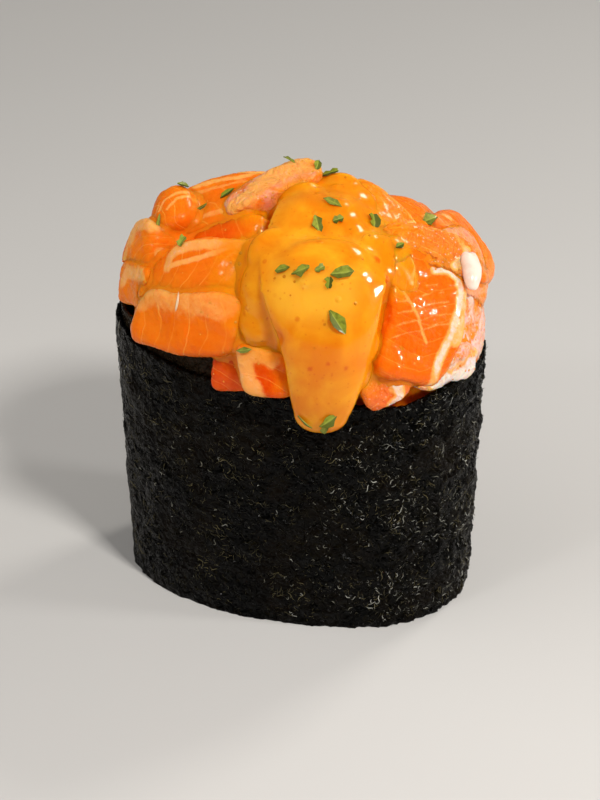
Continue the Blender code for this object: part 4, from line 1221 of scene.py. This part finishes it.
# each flake: its pixel in the photo, mm long and broad, degrees it is turned there, and how it is cut
herbFlakes = [
    (181, 184, 1.7, 1.5, 20, 0), (225.5, 194, 2.4, 1.1, 40, 1), (198, 207, 2.1, 0.5, 28, 2),
    (155.5, 223, 2.6, 0.5, 78, 2),
    (181, 242, 1.7, 1.5, 60, 3), (287, 160.5, 2.2, 0.55, 110, 2), (281, 269.5, 2.2, 1.2, 5, 1),
    (299, 271, 2.6, 1.9, 15, 0),
    (242, 350, 2.2, 0.8, 8, 1), (315, 166, 1.7, 1.3, 70, 0), (329, 174, 2.2, 1.4, 0, 3),
    (330.5, 203, 2.7, 1.2, -32, 1),
    (315.5, 225, 2.7, 1.7, 100, 0), (336, 220, 1.5, 1.1, 20, 3), (371, 221, 2.2, 2.0, 80, 3),
    (427, 221, 2.5, 1.8, 25, 0),
    (398, 246.5, 1.4, 1.1, 40, 1), (318, 269, 1.4, 1.2, 30, 3), (340, 273.5, 3.2, 2.1, 10, 1),
    (327, 282, 1.6, 1.0, 85, 3),
    (334.5, 322, 4.0, 1.9, -52, 1), (326.5, 420.5, 2.8, 1.8, 35, 0), (323, 428, 1.6, 1.2, 70, 3),
    (350, 411.5, 2.7, 1.5, 75, 1),
    (345.5, 422.5, 1.6, 0.5, 70, 2), (304, 421, 2.4, 0.6, -50, 2),
]
# half widths along a flake, on its two sides
herbCuts = [
    ((0.15, 0.8, 1.0, 0.7, 0.1), (0.1, 0.35, 0.9, 0.8, 0.3)), ((0.05, 0.7, 1.0, 0.65, 0.05),
                                                               (0.1, 0.6, 0.95, 0.8, 0.1)),
    ((0.2, 0.9, 0.8, 1.0, 0.2), (0.2, 0.6, 0.9, 0.7, 0.3)), ((0.6, 1.0, 0.7, 0.9, 0.4),
                                                             (0.3, 0.9, 0.6, 1.0, 0.7)),
]
herbMaking = dict(thickness=0.15, fold=0.34, curl=0.35, lift=0.12)


def makeHerbs(making, carriers):
    trees = [treeOf(piece.data) for piece in carriers]
    draw = np.random.default_rng(23)
    right, up = viewAxes()
    parts, shades = [], []
    for u, v, length, width, turned, cut in herbFlakes:
        spot, normal = seenOn(trees, u, v)
        along = right * math.cos(math.radians(turned)) + up * math.sin(math.radians(turned))
        out = normal + 0.2 * Vector(draw.normal(size=3)) + 0.5 * right.cross(up)
        out = (out if cut != 2 else out + along.cross(normal) * 1.3).normalized()
        along = (along - out * along.dot(out)).normalized()
        side = out.cross(along)
        share = np.linspace(-0.5, 0.5, 5)
        rows = []
        for k, x in enumerate(share):
            for part in (-1.0, -0.5, 0.0, 0.5, 1.0):
                half = herbCuts[cut][0 if part < 0 else 1][k] * width / 2 * (1 + 0.22 * draw.normal())
                rise = making["fold"] * abs(part) * half - making["curl"] * x * x * length * 0.4
                rows.append((x * length + 0.035 * length * draw.normal(), part * half, rise))
        rows = np.array(rows)
        rows[:, 2] -= rows[:, 2].min() - making["lift"]
        thick = rows + np.array([0, 0, making["thickness"]])
        grid = np.arange(25).reshape(5, 5)
        faces = [(grid[i, j], grid[i + 1, j], grid[i + 1, j + 1], grid[i, j + 1]) for i in range(4)
                 for j in range(4)]
        faces = [tuple(25 + k for k in face) for face in faces] + [tuple(reversed(face)) for face in faces]
        border = [*grid[0], *grid[1:, -1], *grid[-1, -2::-1], *grid[-2:0:-1, 0]]
        faces += [(a, b, 25 + b, 25 + a) for a, b in zip(border, border[1:] + border[:1])]
        local = np.concatenate([rows, thick])
        world = (np.array(spot) + local[:, :1] * np.array(along) + local[:, 1:2] * np.array(side)
                 + local[:, 2:] * np.array(out))
        parts.append((world, [tuple(int(k) for k in face) for face in faces]))
        tone = draw.uniform(0, 1)
        # each point's place across the fold, which the material uses for the painted shade on one half
        shades += [(tone, part, k / 4) for _ in range(2) for k in range(5)
                   for part in (-1.0, -0.5, 0.0, 0.5, 1.0)]
    piece = linked("herb_flakes", joinedMesh("herb_flakes", parts))
    bm = bmesh.new()
    bm.from_mesh(piece.data)
    bmesh.ops.recalc_face_normals(bm, faces=bm.faces)
    bm.to_mesh(piece.data)
    bm.free()
    writeAttribute(piece.data, "leaf", shades)
    print("herbs laid:", len(parts), "flakes")
    return piece


herbLook = dict(green=(0.21, 0.24, 0.015, 1), dark=(0.07, 0.085, 0.007, 1), light=(0.36, 0.40, 0.06, 1))


def herbMaterial(look):
    material, tree, shader = newMaterial("driedHerb")
    where = node(tree, "ShaderNodeTexCoord").outputs["Object"]
    leaf = channels(tree, "leaf")
    tone, side, _ = leaf
    # one half of each folded flake is painted darker than the other: painted shade
    colour = mixed(tree, remap(tree, side, -0.15, 0.15), look["dark"], look["green"])
    colour = mixed(tree, times(tree, remap(tree, tone, 0.3, 1.0), 0.6), colour, look["light"])
    colour = mixed(tree, times(tree, remap(tree, speckle(tree, where, 1500, 3.0), 0.4, 0.65),
                               0.6), colour, look["dark"])
    middle = remap(tree, maths(tree, "ABSOLUTE", side), 0.25, 0.0)
    colour = mixed(tree, times(tree, middle, 0.6), colour, look["light"])
    normal = bumped(tree, speckle(tree, where, 2200, 3.0), 0.0001, 0.5)
    setShader(tree, shader, Base_Color=colour, Normal=normal, Roughness=0.45)
    setShader(tree, shader, Specular_IOR_Level=0.15, Coat_Weight=0.1, Coat_Roughness=0.1)
    return material


herbs = makeHerbs(herbMaking, [*slices.values(), bed, sauce])


# the loose grain of rice and the pale sliver

grainShape = dict(pixel=(468, 272), size=(5.7, 3.0, 2.5), turned=80, sink=0.9, bow=0.3, uneven=0.22, rings=26,
                  sides=24)
sliverShape = dict(pixels=[(178, 289.5), (176.8, 297), (175.4, 305), (173.4, 315)], radius=0.24, lift=0.12)


def makeGrain(shape, carriers):
    spot, normal = seenOn([treeOf(piece.data) for piece in carriers], *shape["pixel"])
    along, side = turnedOn(normal, shape["turned"])
    length, width, depth = shape["size"]
    points, rings, sides = [], shape["rings"], shape["sides"]
    for i in range(rings + 1):
        x = -math.cos(math.pi * i / rings)
        reach = (1 - abs(x) ** 2.5) ** (1 / 2.1) * (1 + 0.08 * x)
        for j in range(sides):
            a = 2 * math.pi * j / sides
            y, z = math.cos(a) * reach, math.sin(a) * reach
            z -= 0.08 * reach * math.exp(-(y / 0.25) ** 2) * (z > 0)
            points.append(spot + along * x * length / 2 + side * (y * width / 2 + shape["bow"] * x * x)
                          + normal * (z * depth / 2 + depth / 2 - shape["sink"]))
    faces = ringFaces(rings, sides)
    points = np.array(points)
    stray = softNoise(points, 0.75, 12) * shape["uneven"]
    points += (points - points.mean(axis=0)) * (stray / 1.5)[:, None]
    piece = linked("loose_grain", meshFrom("loose_grain", points, faces))
    bm = bmesh.new()
    bm.from_mesh(piece.data)
    bmesh.ops.remove_doubles(bm, verts=bm.verts, dist=0.001)
    bmesh.ops.recalc_face_normals(bm, faces=bm.faces)
    bm.to_mesh(piece.data)
    bm.free()
    return piece


def makeSliver(shape, carriers):
    trees = [treeOf(piece.data) for piece in carriers]
    path = []
    for k, pixel in enumerate(shape["pixels"]):
        spot, normal = seenOn(trees, *pixel)
        path.append(spot + normal * shape["lift"] * (1 if k else 2.5))
    fine = np.array(path)
    for _ in range(2):
        fine = np.array([p for a, b in zip(fine, fine[1:]) for p in (a * 0.75 + b * 0.25, a * 0.25
                                                                     + b * 0.75)])
    t = np.linspace(-1, 1, len(fine))
    return linked("pale_sliver", joinedMesh("pale_sliver", [
        tubeAlong(fine, shape["radius"] * (1 - 0.75 * np.abs(t) ** 3) * (0.75 + 0.25 * t), 8, 0.7)]))


# rice's material comes first, as the loose grain wears it

riceLook = dict(grain=(0.90, 0.87, 0.80, 1), shade=(0.80, 0.75, 0.65, 1))


def riceMaterial(look, name):
    material, tree, shader = newMaterial(name)
    where = node(tree, "ShaderNodeTexCoord").outputs["Object"]
    cloud = speckle(tree, where, 420, 3.0)
    colour = mixed(tree, cloud, look["shade"], look["grain"])
    normal = bumped(tree, speckle(tree, where, 1400, 3.0), 0.0001, 0.35)
    setShader(tree, shader, Base_Color=colour, Roughness=remap(tree, cloud, 0.3, 0.7, 0.25, 0.4),
              Normal=normal)
    setShader(tree, shader, Subsurface_Weight=0.4, Subsurface_Scale=0.0015, Coat_Weight=0.5,
              Coat_Roughness=0.08)
    shader.inputs["Subsurface Radius"].default_value = (1.0, 0.85, 0.65)
    return material


riceMade = riceMaterial(riceLook, "vinegaredRice")
sliverMade = riceMaterial(dict(grain=(0.90, 0.62, 0.38, 1), shade=(0.88, 0.52, 0.26, 1)), "paleSliver")
grainMade = riceMaterial(dict(grain=(0.82, 0.72, 0.64, 1), shade=(0.78, 0.58, 0.46, 1)), "looseGrain")
grain, sliver = makeGrain(grainShape, slices.values()), makeSliver(sliverShape, slices.values())


def dropGrounds(slices, sauce):  # the surfaces that carry drops, and how thickly
    poured = sauce.data.copy()
    points = pointsOf(poured)
    onSauce = smoothStep(-0.3, 0.5, rough(points, 0.2, 2, 88)) * smoothStep(47, 52, points[:, 2])
    dotted = joinedMesh("dotted", [partsOf(piece.data) for piece in slices.values()])
    points = pointsOf(dotted)
    shares = np.concatenate([np.full(len(piece.data.vertices), 0.1
                                     + 0.9 * salmonSlices[name].get("glintDots", 0.0))
                             for name, piece in slices.items()])
    return (poured, onSauce), (dotted, shares * smoothStep(-0.4, 0.3, rough(points, 0.25, 2, 89)))


sauceGround, salmonGround = dropGrounds(slices, sauce)
finishPiece(grain, grainMade, ["salmon_right_end"])
finishPiece(sliver, sliverMade, ["salmon_front_left_low"])
for name, piece in slices.items():
    finishPiece(piece, salmonFlesh, ["salmon_" + name])
finishPiece(bed, salmonFlesh, ["salmon_bed"])
finishPiece(sauce, sauceMaterial(sauceLook), ["sauce"])
finishPiece(herbs, herbMaterial(herbLook), ["sauce"])
herbs.data.shade_flat()


# drops of glaze that catch the light

dropMaking = {
    "sauce_drops": dict(perArea=0.20, spacing=1.15, sizes=(0.10, 0.32), seed=7),
    "salmon_drops": dict(perArea=0.6, spacing=0.6, sizes=(0.09, 0.22), seed=8),
}


def dropShape():  # a low dome of radius one
    turns = np.arange(8) * math.pi / 4
    rows = [np.stack([reach * np.cos(turns), reach * np.sin(turns), np.full(8, height)], axis=1)
            for reach, height in ((1.0, -0.12), (0.94, 0.05), (0.66, 0.19), (0.33, 0.25))]
    faces = [(i * 8 + j, i * 8 + (j + 1) % 8, (i + 1) * 8 + (j + 1) % 8, (i + 1) * 8 + j) for i in range(3)
             for j in range(8)]
    faces += [tuple(range(8))[::-1], tuple(range(24, 32))]
    return meshFrom("drop", np.concatenate(rows), faces)


def strewDrops(name, surface, share, material):
    making = dropMaking[name]
    writeShare(surface, share)
    piece = strewn(name, surface, [dropShape()], material, **{
        "Most per area": making["perArea"], "Spacing": making["spacing"], "Smallest": making["sizes"][0],
        "Largest": making["sizes"][1], "Tilt": 0.05, "Lift": 0.0, "Seed": making["seed"]})
    print(name, len(piece.data.polygons), "faces")
    return piece


def dropMaterial(name, colour):
    material, tree, shader = newMaterial(name)
    setShader(tree, shader, Base_Color=colour, Roughness=0.2, Subsurface_Weight=0.5, Subsurface_Scale=0.002,
              Coat_Weight=0.9, Coat_Roughness=0.02, Coat_IOR=1.45, Specular_IOR_Level=0.1)
    shader.inputs["Subsurface Radius"].default_value = (1.0, 0.5, 0.1)
    return material


sauceDrop, salmonDrop = dropMaterial("sauceDrop",
                                     sauceLook["body"]), dropMaterial("salmonDrop", (0.92, 0.30, 0.03, 1))
finishPiece(strewDrops("sauce_drops", *sauceGround, sauceDrop), sauceDrop, ["sauce"])
finishPiece(strewDrops("salmon_drops", *salmonGround, salmonDrop), salmonDrop, ["sauce"])


# nori's material and strands

noriLook = dict(dark=(0.0005, 0.0005, 0.0004, 1), brown=(0.0032, 0.0019, 0.0008, 1),
                olive=(0.0085, 0.0068, 0.0022, 1),
                paintedSheen=(0.034, 0.022, 0.012, 1), strand=(0.13, 0.11, 0.052, 1))


def noriMaterial(look):
    material, tree, shader = newMaterial("driedNori")
    where = node(tree, "ShaderNodeTexCoord").outputs["Object"]
    patches = speckle(tree, where, 130, 4.0, 0.6)
    mat = speckle(tree, where, 900, 5.0, 0.65, 1.4)
    threads = cells(tree, where, 620.0,
                   feature="DISTANCE_TO_EDGE").outputs["Distance"]
    threads = remap(tree, threads, 0.10, 0.02)
    colour = mixed(tree, remap(tree, patches, 0.42, 0.68), look["dark"], look["brown"])
    colour = mixed(tree, times(tree, remap(tree, mat, 0.52, 0.72), 0.7), colour, look["olive"])
    # painted sheen on that rim, a lighter brown broken up by the mat noise
    paintedSheen = channels(tree, "paintedSheen")
    paintedSheen = times(tree, paintedSheen[0], remap(tree, mat, 0.35, 0.65, 0.35, 1.0))
    colour = mixed(tree, paintedSheen, colour, look["paintedSheen"])
    normal = bumped(tree, speckle(tree, where, 400, 1.0, 0.5, 1.2), 0.0016, 0.9)
    normal = bumped(tree, speckle(tree, where, 1000, 1.0, 0.5, 0.6), 0.0005, 0.7, normal)
    normal = bumped(tree, threads, 0.00016, 0.7, normal)
    setShader(tree, shader, Base_Color=colour, Roughness=remap(tree, patches, 0.35, 0.7, 0.12, 0.3),
              Normal=normal)
    setShader(tree, shader, Specular_IOR_Level=0.065)
    return material


finishPiece(nori, noriMaterial(noriLook), ["nori"])

# fine fibres pressed into the sheet, longer strands that catch the light, and short pale streaks kept to the
# right end, whose pale grey colour is painted glints
strandMaking = {
    "nori_fibres": dict(kinds=8, rings=4, radius=(0.03, 0.05), length=(0.6, 1.7), perArea=1.7, spacing=0.36,
                        least=0.35, lift=0.0, sizes=(0.6, 1.25), seed=4),
    "nori_strands": dict(kinds=9, rings=7, radius=(0.045, 0.075), length=(1.0, 2.4), perArea=0.42,
                         spacing=0.6, least=0.15, lift=0.0, sizes=(0.6, 1.2), seed=9),
    "nori_streaks": dict(kinds=6, rings=6, radius=(0.045, 0.075), length=(0.35, 1.2), perArea=1.0,
                         spacing=0.42, least=0.0, lift=0.0, sizes=(0.6, 1.3), seed=14, right=0.9),
}


def strandShapes(making):  # bits of seaweed fibre, curled flat
    shapes = []
    for kind in range(making["kinds"]):
        share = kind / (making["kinds"] - 1)
        length = making["length"][0] + (making["length"][1] - making["length"][0]) * share
        t = np.linspace(0, 1, making["rings"])
        bend = 0.5 + 2.2 * ((kind * 0.618) % 1)
        angle = bend * t + 0.7 * np.sin(t * 6 + kind)
        steps = np.stack([np.cos(angle), np.sin(angle), 0.05 * np.sin(t * 9 + kind)],
                         axis=1) * length / (making["rings"] - 1)
        path = np.cumsum(steps, axis=0)
        path -= path.mean(axis=0)
        thick = making["radius"][0] + (making["radius"][1] - making["radius"][0]) * ((kind * 0.377) % 1)
        shapes.append(joinedMesh("strand", [tubeAlong(path, thick * (1 - 0.75 * np.abs(2 * t - 1) ** 3), 3,
                                                      0.7)]))
    return shapes


def strandMaterial(look, name):
    material, tree, shader = newMaterial(name)
    where = node(tree, "ShaderNodeTexCoord").outputs["Object"]
    bright = remap(tree, speckle(tree, where, 330, 3.0), 0.45, 0.70)
    colour = mixed(tree, remap(tree, speckle(tree, where, 900, 2.0), 0.4, 0.6), look["dark"], look["olive"])
    colour = mixed(tree, bright, colour, look["strand"])
    setShader(tree, shader, Base_Color=colour, Roughness=remap(tree, speckle(tree, where, 1800, 2.0), 0.3,
                                                               0.7, 0.14, 0.4))
    setShader(tree, shader, Specular_IOR_Level=0.16, Coat_Weight=0.0)
    return material


def makeStrands(name, making, material):
    surface = noriOuter.copy()
    middle = pointsOf(surface)
    clusters = smoothStep(-0.5, 0.35, rough(middle, 0.12, 2, 61)) * (1 - making["least"]) + making["least"]
    right = making.get("right", 0.0)  # how far this kind keeps to the right end
    clusters = clusters * (1 - right * (1 - smoothStep(2, 20, middle[:, 0])))
    writeShare(surface, clusters * smoothStep(0.8, 1.6, middle[:, 2]))
    piece = strewn(name, surface, strandShapes(making), material, **{
        "Most per area": making["perArea"], "Spacing": making["spacing"], "Smallest": making["sizes"][0],
        "Largest": making["sizes"][1], "Tilt": 0.01, "Lift": making["lift"], "Seed": making["seed"]})
    points = pointsOf(piece.data)
    points[:, 2] = np.maximum(points[:, 2], 0.05)
    movePoints(piece.data, points)
    return piece


strandMade = strandMaterial(noriLook, "noriStrands")
# the streaks' pale grey colours are painted glints
glintStreakMade = strandMaterial(dict(dark=(0.05, 0.05, 0.04, 1), olive=(0.16, 0.155, 0.12, 1),
                                 strand=(0.45, 0.45, 0.40, 1)), "noriGlintStreaks")
for name, making in strandMaking.items():
    made = glintStreakMade if name == "nori_streaks" else strandMade
    strands = makeStrands(name, making, made)
    print(name, len(strands.data.polygons), "faces", sum(len(p.vertices) - 2 for p in strands.data.polygons),
          "triangles")
    finishPiece(strands, made, ["nori"])


# rice

# the heap inside the nori, whose underside is what shows
riceMaking = dict(halfLength=23.2, halfDepth=15.2, power=2.25, top=28.0, foot=0.9, columns=96, perArea=0.6,
                  spacing=2.35)


def grainShapes():
    shapes = []
    for kind in range(4):
        t = np.linspace(-1, 1, 9)
        path = np.stack([t * (2.7 + 0.15 * kind), 0.25 * (kind - 1.5) * t * t, np.zeros(9)], axis=1)
        shapes.append(joinedMesh("grain", [tubeAlong(path, 1.42 * np.sqrt(1 - 0.985 * np.abs(t) ** 2.4), 10,
                                                     0.92)]))
    return shapes


def makeRice(making, material):
    turns = np.arange(making["columns"]) * 2 * math.pi / making["columns"]
    c, s = np.cos(turns), np.sin(turns)
    reach = (np.abs(c) ** making["power"] + np.abs(s) ** making["power"]) ** (-1 / making["power"])
    rows = [(0.0, making["foot"]), (0.3, making["foot"]), (0.55, making["foot"]), (0.75, making["foot"]),
            (0.92, making["foot"]), (0.985, making["foot"] + 0.5), (1.0, making["foot"] + 2),
            (1.04, making["top"] - 3),
            (0.97, making["top"] - 0.6), (0.85, making["top"]), (0.4, making["top"]), (0.0, making["top"])]
    points = np.concatenate([np.stack([making["halfLength"] * reach * c * wide,
                                       making["halfDepth"] * reach * s * wide,
                                       np.full(len(c), height)], axis=1) for wide, height in rows])
    count = making["columns"]
    faces = [(i * count + j, (i + 1) * count + j, (i + 1) * count + (j + 1) % count, i * count
              + (j + 1) % count)
             for i in range(len(rows) - 1) for j in range(count)]
    core = meshFrom("rice_core", points, faces)
    bm = bmesh.new()
    bm.from_mesh(core)
    bmesh.ops.remove_doubles(bm, verts=bm.verts, dist=0.001)
    bmesh.ops.recalc_face_normals(bm, faces=bm.faces)
    bm.to_mesh(core)
    bm.free()
    foot = core.copy()
    bm = bmesh.new()
    bm.from_mesh(foot)
    bmesh.ops.delete(bm, geom=[face for face in bm.faces if face.calc_center_median().z > making["foot"]
                               + 0.6], context="FACES")
    bm.to_mesh(foot)
    bm.free()
    writeShare(foot, np.ones(len(foot.vertices)))
    grains = strewn("rice_grains", foot, grainShapes(), material, **{
        "Most per area": making["perArea"], "Spacing": making["spacing"], "Smallest": 0.88, "Largest": 1.06,
        "Tilt": 0.2, "Lift": -0.55, "Seed": 3})
    points = pointsOf(grains.data)
    points[:, 2] = np.where(points[:, 2] < 0.35, 0.35 - 0.33 * (1 - np.exp((points[:, 2] - 0.35) / 0.5)),
                            points[:, 2])
    movePoints(grains.data, points)
    return linked("rice_core", core), grains


for piece in makeRice(riceMaking, riceMade):
    print(piece.name, len(piece.data.polygons), "faces")
    finishPiece(piece, riceMade, ["rice"])
